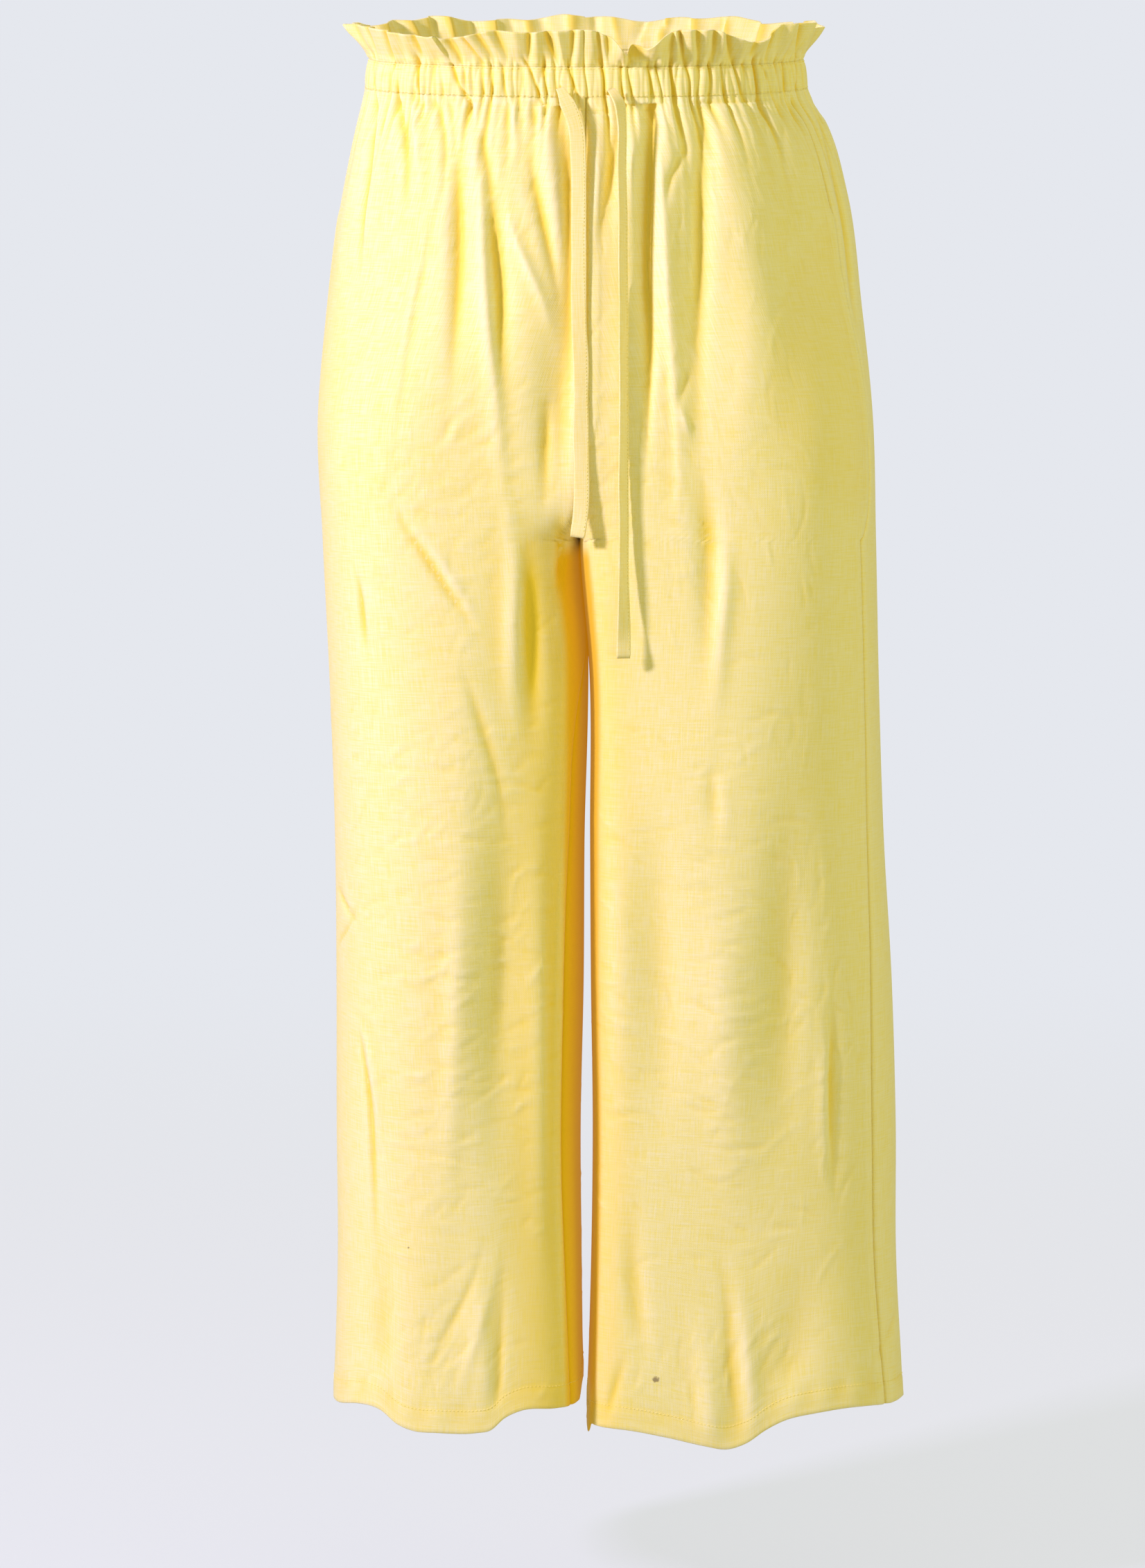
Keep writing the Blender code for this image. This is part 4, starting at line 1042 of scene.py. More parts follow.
def linen(name, pitch=0.0007, cloth=CLOTH, marks=()):
    """Matt woven linen with a faint sheen. marks are small spots: x, z, radius and colour."""
    material, tree, shader = principled(name, {
        "Roughness": 0.78, "Specular IOR Level": 0.25, "Sheen Weight": 0.25,
        # the emission carries only the painted glow between the legs
        "Sheen Roughness": 0.45, "Emission Strength": 1.0,
    })
    uv = node(tree, "ShaderNodeUVMap", uv_map="cloth")
    weave = node(tree, "ShaderNodeGroup", node_tree=WEAVE)
    weave.inputs["Pitch"].default_value = pitch
    tree.links.new(uv.outputs[0], weave.inputs["Vector"])
    # painted shade of the folds and painted highlight of the ridges, read per vertex
    painted_shade = node(tree, "ShaderNodeAttribute", attribute_name="painted_shade")
    tint = node(tree, "ShaderNodeGroup", node_tree=TINT)
    tree.links.new(weave.outputs["Tone"], tint.inputs["Tone"])
    tree.links.new(painted_shade.outputs["Fac"], tint.inputs["Hollow"])
    for label, colour in (("Cloth", cloth), ("Deep", CLOTH_IN_PAINTED_SHADE), ("Pale", CLOTH_PALE)):
        tint.inputs[label].default_value = (*colour, 1.0)
    colour = tint.outputs["Color"]
    for x, z, radius, spot in marks:
        where = node(tree, "ShaderNodeTexCoord")
        parts = node(tree, "ShaderNodeSeparateXYZ", {"Vector": where.outputs["Object"]})
        rough = node(tree, "ShaderNodeTexNoise", {
            "Vector": where.outputs["Object"], "Scale": 0.9 / radius, "Detail": 3.0,
        })
        dx = maths(tree, "SUBTRACT", parts.outputs["X"], x)
        dz = maths(tree, "SUBTRACT", parts.outputs["Z"], z)
        squares = [maths(tree, "MULTIPLY", side, side) for side in (dx, dz)]
        apart = maths(tree, "SQRT", maths(tree, "ADD", *squares))
        edge = maths(tree, "MULTIPLY", rough.outputs["Fac"], 2.0 * radius)
        share = node(tree, "ShaderNodeMapRange", {
            "Value": maths(tree, "SUBTRACT", edge, apart), "From Min": -0.15 * radius,
            "From Max": 0.35 * radius, "To Min": 0.0, "To Max": 0.85,
        })
        front = maths(tree, "LESS_THAN", parts.outputs["Y"], 0.0)
        share = maths(tree, "MULTIPLY", share.outputs[0], front)
        colour = mixed(tree, share, colour, (*spot, 1.0))
    # painted shade and painted glow between the legs: a saturated base colour and an emission that
    # stand for light coming through the cloth
    between = node(tree, "ShaderNodeAttribute", attribute_name="between").outputs["Fac"]
    with_painted_shade = mixed(tree, between, colour, (*PAINTED_SHADE_BETWEEN_LEGS, 1.0))
    tree.links.new(with_painted_shade, shader.inputs["Base Color"])
    painted_glow = mixed(tree, between, (0.0, 0.0, 0.0, 1.0), (*PAINTED_GLOW_THROUGH_CLOTH, 1.0))
    tree.links.new(painted_glow, shader.inputs["Emission Color"])
    raised = node(tree, "ShaderNodeBump", {
        "Height": weave.outputs["Height"], "Strength": 0.35, "Distance": 0.00022,
    })
    tree.links.new(raised.outputs["Normal"], shader.inputs["Normal"])
    return material


# Two spots on the wearer's left and right legs: x, z, radius and colour
STAIN = (0.0482, -0.8870, 0.0021, (0.26, 0.19, 0.09))
FLECK = (-0.1195, -0.7915, 0.0007, (0.30, 0.22, 0.10))

# ---------------------------------------------------------------- panels
FRONT_ROWS, FRONT_COLUMNS = 421, 187
BACK_ROWS, BACK_COLUMNS = 341, 175
SEWN_FLAT = 0.009  # below the casing, where the folds begin
SEAM_ROLL = 0.0013  # how far the cloth turns in at a seam
SEAM_ROLL_WIDTH = 0.0016
SEAM_ALLOWANCE = 0.009
SEAM_ALLOWANCE_RISE = 0.00035
TAPER_END_Z = -0.450
# Where the legs come nearest to each other below the crotch, and how far the right one stands
# out there
LEGS_MEET_Z, LEGS_MEET_REACH = -0.375, 0.035
LEGS_MEET_BY = 0.0016
# How far inwards each panel faces, 0 to 1, where it starts to take the painted shade and painted
# glow that stand for the light from between the legs, and over how much it takes them up
BETWEEN_FACING = {
    ("right", "back"): (0.1, 0.3), ("right", "front"): (0.66, 0.16),
    ("left", "back"): (0.6, 0.3), ("left", "front"): (0.74, 0.20),
}
# How far from its inner edge a leg gets painted shade, the deeper colour of light cast back from
# the other leg, and how deeply
INNER_FLANK_PAINTED_SHADE = {"left": (0.026, 0.35), "right": (0.045, 0.55)}
FLANK_START, FLANK_FADE = 0.03, 0.06  # above the crotch
BETWEEN_FADE = 0.012  # below the crotch
BACKWARD_END, BACKWARD_REACH = 0.30, 0.25  # what faces backwards doesn't take that painted shade and glow
# weights of the painted shade in folds and painted highlight on ridges, of the deeper tone over the
# pocket bags, and of the turned-up hem
FOLD_SHADE, POCKET_SHADE, HEM_SHADE = 0.75, 0.14, 0.22
HEM_EDGE = 0.002
TURNED_COLUMNS = 0.45  # share of a panel's columns that follow the crotch curve
POCKET_TOP_Z, POCKET_LOW_Z = -0.088, -0.300
POCKET_MOUTH_LOW_Z = -0.250
POCKET_STEP = 0.00015
POCKET_WIDTH = 0.098
POCKET_EDGE, POCKET_LOW_EDGE = 0.004, 0.006
MOUTH_FADE, MOUTH_STEP = 0.010, 0.0006
ALLOWANCE_EDGE = 0.0015
HEM_DENT, HEM_DENT_WIDTH = 0.0005, 0.0012  # at the stitches
HEM_RISE, HEM_RISE_EDGE = 0.0003, 0.001
HEM_EASE, HEM_EASE_PITCH, HEM_EASE_REACH = 0.00035, 0.0052, 0.011
POCKET_ROWS, POCKET_COLUMNS = 41, 31
POCKET_LEAST = 0.004  # width of the bag at its ends
POCKET_BEHIND = 0.0012  # how far it hangs behind the front
POCKET_THICK, POCKET_PUFF = 0.0012, 0.0010


def panel_heights(rows):
    """Heights of a panel's rows: evenly spaced, but closer below the casing. The last row but
    one is the hem's edge, and the last one turns it under."""
    share = np.linspace(0, 1, rows - 1)
    top = -CASING_HEIGHT / 2 - STITCH_GAP
    close = share + 0.10 * (np.exp(-share / 0.08) - 1) * (1 - share)
    heights = top + (HEM_Z - top) * (close - close[0]) / (close[-1] - close[0])
    return np.append(heights, HEM_Z)


def panel_shares(side, piece, heights, columns):
    """The shares of the outline at a panel's columns, for each of its rows. From the outseam the
    columns are spread evenly over a width that tapers smoothly past the crotch, and only those
    near the other end take up the rest of the panel, which follows the crotch curve."""
    lengths = np.array([outline(side, z, np.zeros(1))[2] for z in heights])
    inseam = np.where(heights < CROTCH_Z, seam(f"{side}_inseam", heights), 0.0)
    outseam = seam(f"{side}_outseam", heights)
    width = (outseam - inseam if piece == "front" else 1.0 + inseam - outseam) * lengths
    over_curve = (heights < CURVE_START_Z) & (heights > TAPER_END_Z)
    past_curve = np.interp(-heights, -heights[~over_curve], width[~over_curve])
    tapered = np.where(over_curve, past_curve, width)
    across = np.linspace(0, 1, columns)
    turned = np.clip(1 - (1 - across) / TURNED_COLUMNS, 0, 1) ** 2
    from_outseam = tapered[:, None] * across + (width - tapered)[:, None] * turned
    from_outseam = SEAM_GAP / 2 + from_outseam * (1 - SEAM_GAP / width)[:, None]
    if piece == "front":
        return outseam[:, None] - from_outseam[:, ::-1] / lengths[:, None]
    return outseam[:, None] + from_outseam / lengths[:, None]


def to_edges(grid):
    """Distance in metres from each place of a grid to its first and last columns."""
    steps = np.linalg.norm(np.diff(grid.level, axis=1), axis=2)
    run = np.concatenate([np.zeros((steps.shape[0], 1)), np.cumsum(steps, axis=1)], axis=1)
    return run, run[:, -1:] - run


def pocket_reach(heights):
    """How far a pocket bag reaches from the outseam at each height: a rounded lobe, deepest at
    two thirds of its length."""
    down = np.clip((POCKET_TOP_Z - heights) / (POCKET_TOP_Z - POCKET_LOW_Z), 0.0, 1.0)
    return POCKET_WIDTH * np.sin(math.pi * down**1.6) ** 0.55


def panel_depth(grid, piece, creases, marks):
    """How far every place of a panel stands out from the base surface, and its pocket mask."""
    depth = np.zeros_like(grid.girth)
    signed = grid.sign * grid.girth
    for crease, line_girth, line_height in creases:
        add_crease(depth, signed, grid.heights, crease, line_girth, line_height)
    add_crumples(depth, signed, grid.heights, marks)
    depth *= smooth_step((-CASING_HEIGHT / 2 - grid.heights) / SEWN_FLAT)
    near_top = grid.heights[:, 0] > -CASING_HEIGHT / 2 - GATHERS_END
    at = grid.sign * grid.shares[near_top] * WAIST_GIRTH_HALF
    rise = grid.heights[near_top] + CASING_HEIGHT / 2 + STITCH_GAP
    depth[near_top] += gather_depth(at, rise)
    first, last = to_edges(grid)
    pocket = np.zeros_like(depth)
    rolled = SEAM_ROLL * (np.exp(-first / SEAM_ROLL_WIDTH) + np.exp(-last / SEAM_ROLL_WIDTH))
    if piece == "front":
        inside = pocket_reach(grid.heights) - last
        pocket = smooth_step(inside / POCKET_EDGE + 0.5)
        pocket = pocket * smooth_step((grid.heights - POCKET_LOW_Z) / POCKET_LOW_EDGE)
        depth += POCKET_STEP * pocket
        mouth = smooth_step((POCKET_TOP_Z - grid.heights) / MOUTH_FADE)
        mouth = mouth * smooth_step((grid.heights - POCKET_MOUTH_LOW_Z) / MOUTH_FADE)
        rolled -= mouth * (SEAM_ROLL + MOUTH_STEP) * np.exp(-last / POCKET_EDGE)
    allowance = first if piece == "back" else np.minimum(first, last)
    past = smooth_step((allowance - SEAM_ALLOWANCE) / ALLOWANCE_EDGE + 0.5)
    depth += SEAM_ALLOWANCE_RISE * (1 - past)
    above_hem = grid.heights - HEM_Z
    depth -= HEM_DENT * np.exp(-(((above_hem - HEM_HEIGHT) / HEM_DENT_WIDTH) ** 2))
    depth += HEM_RISE * (1 - smooth_step((above_hem - HEM_HEIGHT) / HEM_RISE_EDGE + 0.5))
    ease = np.sin(signed / HEM_EASE_PITCH + 3 * np.sin(signed / 0.031))
    ease = ease * np.exp(-(((above_hem - HEM_HEIGHT * 0.8) / HEM_EASE_REACH) ** 2))
    return depth - rolled + HEM_EASE * ease, pocket


def hollowness(depth):
    """-1 on ridges and 1 in the depths of folds, from a place's depth below its surroundings."""
    around = depth.copy()
    for _ in range(6):
        for axis in (0, 1):
            around = (np.roll(around, 2, axis) + np.roll(around, -2, axis) + 2 * around) / 4
    return np.clip((around - depth) / 0.0016, -1.0, 1.0)


def panel(side, piece, creases, marks, material):
    """One leg panel: a thin shell whose hem is thicker and turned under."""
    rows, columns = (FRONT_ROWS, FRONT_COLUMNS) if piece == "front" else (BACK_ROWS, BACK_COLUMNS)
    heights = panel_heights(rows)
    grid = Cloth(side, panel_shares(side, piece, heights, columns), heights)
    depth, pocket = panel_depth(grid, piece, creases, marks)
    inward = -grid.sign * grid.facing[..., 0]
    if side == "right":
        closed = np.exp(-(((grid.heights - LEGS_MEET_Z) / LEGS_MEET_REACH) ** 2))
        depth += LEGS_MEET_BY * closed * smooth_step((inward - 0.5) / 0.3)
    outer, out = grid.points(depth), grid.normals()
    hem = 1 - smooth_step((grid.heights - HEM_Z - HEM_HEIGHT) / HEM_EDGE + 0.5)
    wall = WALL + (HEM_WALL - WALL) * hem
    inner = outer - out * wall[..., None]
    outer[-1] -= out[-1] * wall[-1][..., None] / 2 + np.array([0, 0, HEM_WALL / 2])
    # mask of the painted shade and glow: cloth facing inwards below the crotch, but not backwards
    start, reach = BETWEEN_FACING[side, piece]
    between = smooth_step((inward - start) / reach)
    between = between * smooth_step((CROTCH_Z - grid.heights) / BETWEEN_FADE)
    between = between * smooth_step((BACKWARD_END - grid.facing[..., 1]) / BACKWARD_REACH)
    # painted shade along each leg's inner flank, for the light cast back from the other leg
    from_inner = np.abs(grid.level[..., 0]) - form(f"{side}_in", grid.heights)
    wide, deep = INNER_FLANK_PAINTED_SHADE[side]
    flank_shade = deep * (1 - smooth_step(from_inner / wide - 0.5))
    flank_shade = flank_shade * smooth_step((CROTCH_Z + FLANK_START - grid.heights) / FLANK_FADE)
    # painted shade in folds and along the inner flank, painted highlight on ridges, and a deeper
    # tone over the pocket bags and the turned-up hem
    painted_shade = FOLD_SHADE * hollowness(depth) + POCKET_SHADE * pocket + HEM_SHADE * hem + flank_shade
    made = shell_piece(
        f"leg_{piece}_{side}", f"{piece}_{side}", "cloth", outer, inner,
        np.dstack([grid.girth, grid.heights]), {"painted_shade": painted_shade, "between": between}, material,
        turned=side == "right",
    )
    return made, grid, outer, inner


def row_at(grid, points, height):
    """A line of points along a panel at one nominal height."""
    heights = grid.heights[:-1, 0]
    at = np.interp(-height, -heights, np.arange(len(heights)))
    low = int(at)
    return points[low] + (points[low + 1] - points[low]) * (at - low)


# ---------------------------------------------------------------- waist
RING_COLUMNS = 1400
CASING_ROWS, RUFFLE_ROWS = 19, 35
CASING_PUFF = 0.0013
# how strongly painted shade darkens the gathers of the casing and the folds of the ruffle
CASING_SHADE, RUFFLE_SHADE = 0.9, 0.7
CENTRE_PX = 844.5
FRONT_HALF = 0.150  # half of the casing's width as seen

# Folds of the ruffle that the photograph shows: their pixel at its stitches and at its edge,
# widths to both sides in mm, depth in mm, power, the share of its height where it starts, and
# how far its side laps over, in mm.
FLOUNCES = (
    (540, 522, 3.5, 2.5, -4.5, 1.8, 0, 0), (533, 512, 2.5, 2.5, 3.5, 1.8, 0, 0),
    (560, 550, 2.5, 3, -3.5, 1.6, 0, 0), (572, 562, 4, 4, 3, 2, 0, 0),
    (608, 588, 1.4, 3, -3.8, 1.3, 0, 1.5), (596, 580, 4, 3, 2, 2, 0, 0),
    (649, 621, 4.5, 1.2, 4.8, 1.6, 0, 2), (666, 640, 3, 5, -5.5, 1.9, 0, 0),
    (696, 660, 1.8, 2, -4, 1.3, 0, 1.2), (706, 672, 3.5, 3.5, 2.5, 1.9, 0, 0),
    (715, 684, 2.6, 2.6, -3, 1.6, 0, 0), (726, 698, 3, 3, 2.2, 1.9, 0, 0),
    (736, 712, 2.6, 3, -2.8, 1.6, 0, 0), (750, 740, 4, 4, 2.2, 2, 0, 0),
    (761, 761, 1.5, 2, -3.5, 1.4, 0, 0), (774, 772, 3, 3, 2, 2, 0, 0),
    (808, 794, 4.2, 0.9, -6.5, 1.4, 0, -3), (814, 803, 0.8, 4.5, 3, 1.6, 0, 0),
    (823, 826, 1.5, 2.5, -3, 1.5, 0, 0), (833, 835, 3, 3, 2, 2, 0, 0),
    (842, 842, 0.8, 0.8, -1.6, 1.2, 0, 0), (855, 854, 4, 4, 2.2, 2, 0, 0),
    (869, 863, 2, 1.5, -3.6, 1.4, 0, 0), (880, 876, 1.2, 2.5, -2.5, 1.5, 0, 0),
    (896, 897, 4, 3.5, 5.5, 1.8, 0, 0), (921, 920, 4.5, 7, -10, 2.2, 0.22, 0),
    (911, 911, 1.2, 1.2, -3, 1.3, 0, 0), (945, 952, 4, 4, 3.5, 1.8, 0, 0),
    (969, 972, 1.5, 2.5, -4.5, 1.3, 0, 1.5), (981, 975, 3, 2, 3.5, 1.8, 0, 0),
    (990, 983, 2, 1, -5, 1.3, 0, 2), (1002, 998, 3, 3, 3, 2, 0, 0),
    (1011, 1010, 1.5, 2, -2.8, 1.5, 0, 0), (1021, 1022, 3.5, 3.5, 2.6, 2, 0, 0),
    (1031, 1036, 1.5, 2, -3.4, 1.4, 0, 0), (1045, 1045, 3, 3, 3, 1.9, 0, 0),
    (1061, 1055, 2.5, 2, -3.6, 1.6, 0, 0), (1072, 1074, 4, 4, 2, 2, 0, 0),
    (1086, 1098, 4, 4, -4, 1.9, 0, 0), (1108, 1122, 3, 2, -3.5, 1.5, 0, 0),
    (1128, 1142, 5, 5, 5.5, 2, 0, 0), (1150, 1158, 1.6, 3, -4, 1.5, 0, 0),
)
# The ruffle's height above its stitches, in mm, at pixels along its front edge
EDGE = (
    (512, 22.5), (535, 22.0), (558, 20.6), (600, 18.5), (614, 18.0), (622, 18.6), (630, 17.2),
    (648, 18.0), (669, 19.4), (706, 23.0), (735, 22.4), (763, 22.0), (780, 22.6), (806, 23.0),
    (839, 24.0), (858, 23.2), (872, 20.7), (884, 18.6), (892, 14.7), (900, 10.0), (905, 7.6),
    (909, 8.5), (913, 12.5), (925, 13.4), (939, 11.6), (954, 17.0), (968, 21.5), (978, 22.8),
    (992, 23.4), (1015, 23.2), (1036, 23.0),
    (1051, 20.7), (1073, 16.5), (1098, 14.4), (1112, 16.0), (1119, 18.0), (1126, 23.5),
        (1142, 25.6),
    (1158, 25.2),
)
HIDDEN_FROM = 0.172  # girth beyond which the photograph doesn't show the ruffle
HIDDEN_FLOUNCES = 34
HIDDEN_STRAY, HIDDEN_LEAN = 0.004, 0.0045  # from even steps, and from stitches to edge
HIDDEN_WIDTHS, HIDDEN_DEPTHS = (2.5, 6.0), (3.0, 6.0)
HIDDEN_POWERS, HIDDEN_LAPS = (1.5, 2.1), (-2.0, 2.0)
BEHIND_HEIGHT = 0.0215
BEHIND_FADE = 0.012  # girth over which the edge behind takes over
LEAN_POWER = 1.4


class Ring:
    """A level ring of places round the waist at the heights given, with its girth from the
    centre front, below 0 on the wearer's right. Its columns start and end at the centre back."""

    def __init__(self, z, columns):
        shares = (np.arange(columns) + 0.5) / columns * 2 - 1
        at, facing = np.zeros((columns, 2)), np.zeros((columns, 2))
        for side, sign in (("left", 1.0), ("right", -1.0)):
            mine = shares * sign > 0
            flat, out, *_ = outline(side, z, np.abs(shares[mine]))
            at[mine] = np.column_stack([sign * flat[:, 0], flat[:, 1]])
            facing[mine] = np.column_stack([sign * out[:, 0], out[:, 1]])
        self.at, self.facing = at, facing
        self.tangent = np.column_stack([-facing[:, 1], facing[:, 0]])
        self.girth = shares * WAIST_GIRTH_HALF

    def row(self, z, rise, out, aside=0.0):
        """Points moved out, and aside along the ring, on the waist's slope and raised."""
        level = self.at + self.facing * np.asarray(out)[:, None]
        level = level + self.tangent * (np.zeros(len(self.at)) + aside)[:, None]
        return np.column_stack([level, z + rise + WAIST_SLOPE * level[:, 1]])

    def normals(self):
        """The way out, along the waist's slope."""
        return np.column_stack([self.facing, WAIST_SLOPE * self.facing[:, 1]])


# Where the drawstring leaves the casing: pixel, half width and half height in mm, depth in mm
HOLES = ((809, 131, 0.9, 4.6, 1.1), (882, 134, 3.0, 2.4, 2.4))


def casing(material):
    """The stitched tunnel: puffed between its two rows of stitches, creased by the gathers, with
    a slit and an eyelet for the drawstring, and painted shade in the gathers, the slit and the
    eyelet."""
    share = np.linspace(1, 0, CASING_ROWS)
    rows, painted_shade = [], []
    holes = [
        (waist_girths(np.array([float(px)]), np.array([float(py)]))[0], py, *sizes)
        for px, py, *sizes in HOLES
    ]
    for at in share:
        z = (at - 0.5) * CASING_HEIGHT
        ring = Ring(z, RING_COLUMNS)
        puff = CASING_PUFF * (1 - (2 * at - 1) ** 2) ** 0.8
        depth = puff + gather_depth(ring.girth, at * CASING_HEIGHT)
        # painted shade in the gathers
        dark = hollowness_of_line(depth)
        for girth, py, half_wide, half_tall, deep in holes:
            level = (CASING_LOW_PY + 4 - py) / (CASING_LOW_PY - CASING_TOP_PY)
            apart = np.hypot(
                (ring.girth - girth) * 1000 / half_wide,
                (at - level) * CASING_HEIGHT * 1000 / half_tall,
            )
            sunk = 1 - smooth_step((apart - 0.8) / 0.4)
            depth = depth - sunk * deep / 1000
            # painted shade in the drawstring's slit and eyelet
            dark = np.maximum(dark, sunk)
        rows.append(ring.row(z, 0.0, depth))
        painted_shade.append(dark)
    top, outer = Ring(CASING_HEIGHT / 2, RING_COLUMNS), np.array(rows)
    out = top.normals()
    uv = np.dstack(np.broadcast_arrays(top.girth, (share * CASING_HEIGHT)[:, None]))
    made = shell_piece(
        "casing", "waist_casing", "cloth", outer, outer - FOLDED_WALL * out, uv,
        {"painted_shade": CASING_SHADE * np.array(painted_shade)}, material, ring=True,
    )
    return made, outer, out


def hollowness_of_line(depth):
    """0 on ridges and 1 in gathers, along one closed line of depths."""
    around = depth.copy()
    for _ in range(8):
        around = (np.roll(around, 4) + np.roll(around, -4) + 2 * around) / 4
    return np.clip((around - depth) / 0.0016, 0.0, 1.0)


def edge_girths(px):
    """The girth, at the stitches, of pixels along the ruffle's flared edge."""
    stretch = FRONT_HALF / (FRONT_HALF + RUFFLE_FLARE)
    return waist_girths(CENTRE_PX + (px - CENTRE_PX) * stretch, np.full(len(px), CASING_TOP_PY))


def flounce_rows(rng):
    """Girth at the stitches and at the edge, widths, depth, power, start and lap of each fold:
    the ones that show, then drawn ones where the photograph shows none."""
    shown = np.array(FLOUNCES, float)
    low = waist_girths(shown[:, 0], np.full(len(shown), CASING_TOP_PY))
    rows = [np.column_stack([low, edge_girths(shown[:, 1]), shown[:, 2:]])]
    hidden = np.linspace(HIDDEN_FROM, 2 * WAIST_GIRTH_HALF - HIDDEN_FROM, HIDDEN_FLOUNCES)
    hidden = hidden + rng.uniform(-HIDDEN_STRAY, HIDDEN_STRAY, HIDDEN_FLOUNCES)
    hidden = np.where(hidden > WAIST_GIRTH_HALF, hidden - 2 * WAIST_GIRTH_HALF, hidden)
    sign = np.where(np.arange(HIDDEN_FLOUNCES) % 2 == 0, 1.0, -1.0)
    rows.append(np.column_stack([
        hidden, hidden + rng.normal(0, HIDDEN_LEAN, HIDDEN_FLOUNCES),
        rng.uniform(*HIDDEN_WIDTHS, HIDDEN_FLOUNCES), rng.uniform(*HIDDEN_WIDTHS, HIDDEN_FLOUNCES),
        sign * rng.uniform(*HIDDEN_DEPTHS, HIDDEN_FLOUNCES),
        rng.uniform(*HIDDEN_POWERS, HIDDEN_FLOUNCES),
        np.zeros(HIDDEN_FLOUNCES), rng.uniform(*HIDDEN_LAPS, HIDDEN_FLOUNCES),
    ]))
    return np.concatenate(rows)


def ruffle_height(girth):
    """The ruffle's height above its stitches at a girth: the photograph's edge in front, and a
    wandering one behind."""
    shown = np.array(EDGE, float)
    front = through(girth, edge_girths(shown[:, 0]), shown[:, 1] / 1000)
    behind = BEHIND_HEIGHT + 0.0016 * np.sin(girth * 61 + 1.0) + 0.0011 * np.sin(girth * 143 + 2.0)
    share = smooth_step((np.abs(girth) - HIDDEN_FROM + HIDDEN_STRAY) / BEHIND_FADE)
    return front + (behind - front) * share


def ruffle(rng, material):
    """The heading above the casing: it leans out and its folds grow towards its edge, some
    lapping over. Its edge is the cloth's fold, so it is rounded."""
    base = CASING_HEIGHT / 2
    ring = Ring(base, RING_COLUMNS)
    height = ruffle_height(ring.girth)
    folds = flounce_rows(rng)
    rows, depths = [], []
    share = np.linspace(1, 0, RUFFLE_ROWS - 1)
    for at in share:
        depth = gather_depth(ring.girth, CASING_HEIGHT + STITCH_GAP + height * at)
        aside = np.zeros_like(depth)
        for low, top, left, right, deep, power, start, lap in folds:
            middle = low + (top - low) * at
            apart = round_waist(ring.girth - middle)
            grown = smooth_step((at - start) / (1 - start) / 0.9) if at > start else 0.0
            grown = 0.25 * (at > start) * min(1.0, (at - start) / 0.1) + 0.75 * grown
            shape = bell(apart, left / 1000, right / 1000, power)
            depth = depth + deep / 1000 * grown * shape
            aside = aside + lap / 1000 * grown * shape
        lean = RUFFLE_FLARE * at**LEAN_POWER + 0.0008 * smooth_step(at / 0.12)
        rows.append(ring.row(base, STITCH_GAP + height * at, lean + depth, aside))
        depths.append(depth)
    outer, depths = np.array(rows), np.array(depths)
    out = ring.normals()
    inner = outer - FOLDED_WALL * out[None]
    edge = outer[:1] - out[None] * FOLDED_WALL / 2 + np.array([0, 0, FOLDED_WALL / 2])
    outer = np.concatenate([edge, outer])
    inner = np.concatenate([inner[:1], inner])
    depths = np.concatenate([depths[:1], depths])
    # painted shade in the ruffle's folds
    painted_shade = np.array([hollowness_of_line(row) for row in depths])
    up = np.concatenate([[1.0], share])[:, None] * height[None] + CASING_HEIGHT
    uv = np.dstack([np.broadcast_to(ring.girth, up.shape), up])
    made = shell_piece(
        "ruffle", "waist_ruffle", "cloth", outer, inner, uv, {"painted_shade": RUFFLE_SHADE * painted_shade},
        material, ring=True,
    )
    return made


# ---------------------------------------------------------------- drawstring
TIE_ROWS = 150
TIE_SECTION = 18
TIE_STITCH_IN = 0.0017  # from the tie's edge to its stitches
TIE_PRESSED = 0.72  # share of its half thickness there
TIE_SEWN = slice(6, -2)  # the rows that are stitched
TIE_KNOTS = 14
TIE_FOLD = 0.008  # height of its folded end
SECTION_POWERS = (0.35, 0.8)  # of the oblong, across and through


def tie_frames(route):
    """Middle, way across and way out of a tie at even steps along its route."""
    places = np.array([row[:3] for row in route])
    turns = column(route, TIE_COLUMNS, "turn_degrees")
    knots = covered_by(places)
    at = np.linspace(0.0, knots[-1], TIE_ROWS)
    middle = through(at, knots, places)
    turn = np.radians(through(at, knots, turns))
    wide = np.column_stack([np.cos(turn), np.sin(turn), np.zeros_like(turn)])
    way = np.gradient(middle, axis=0)
    way /= np.linalg.norm(way, axis=1, keepdims=True)
    wide -= way * np.sum(wide * way, axis=1, keepdims=True)
    wide /= np.linalg.norm(wide, axis=1, keepdims=True)
    return at, middle, wide, np.cross(way, wide)


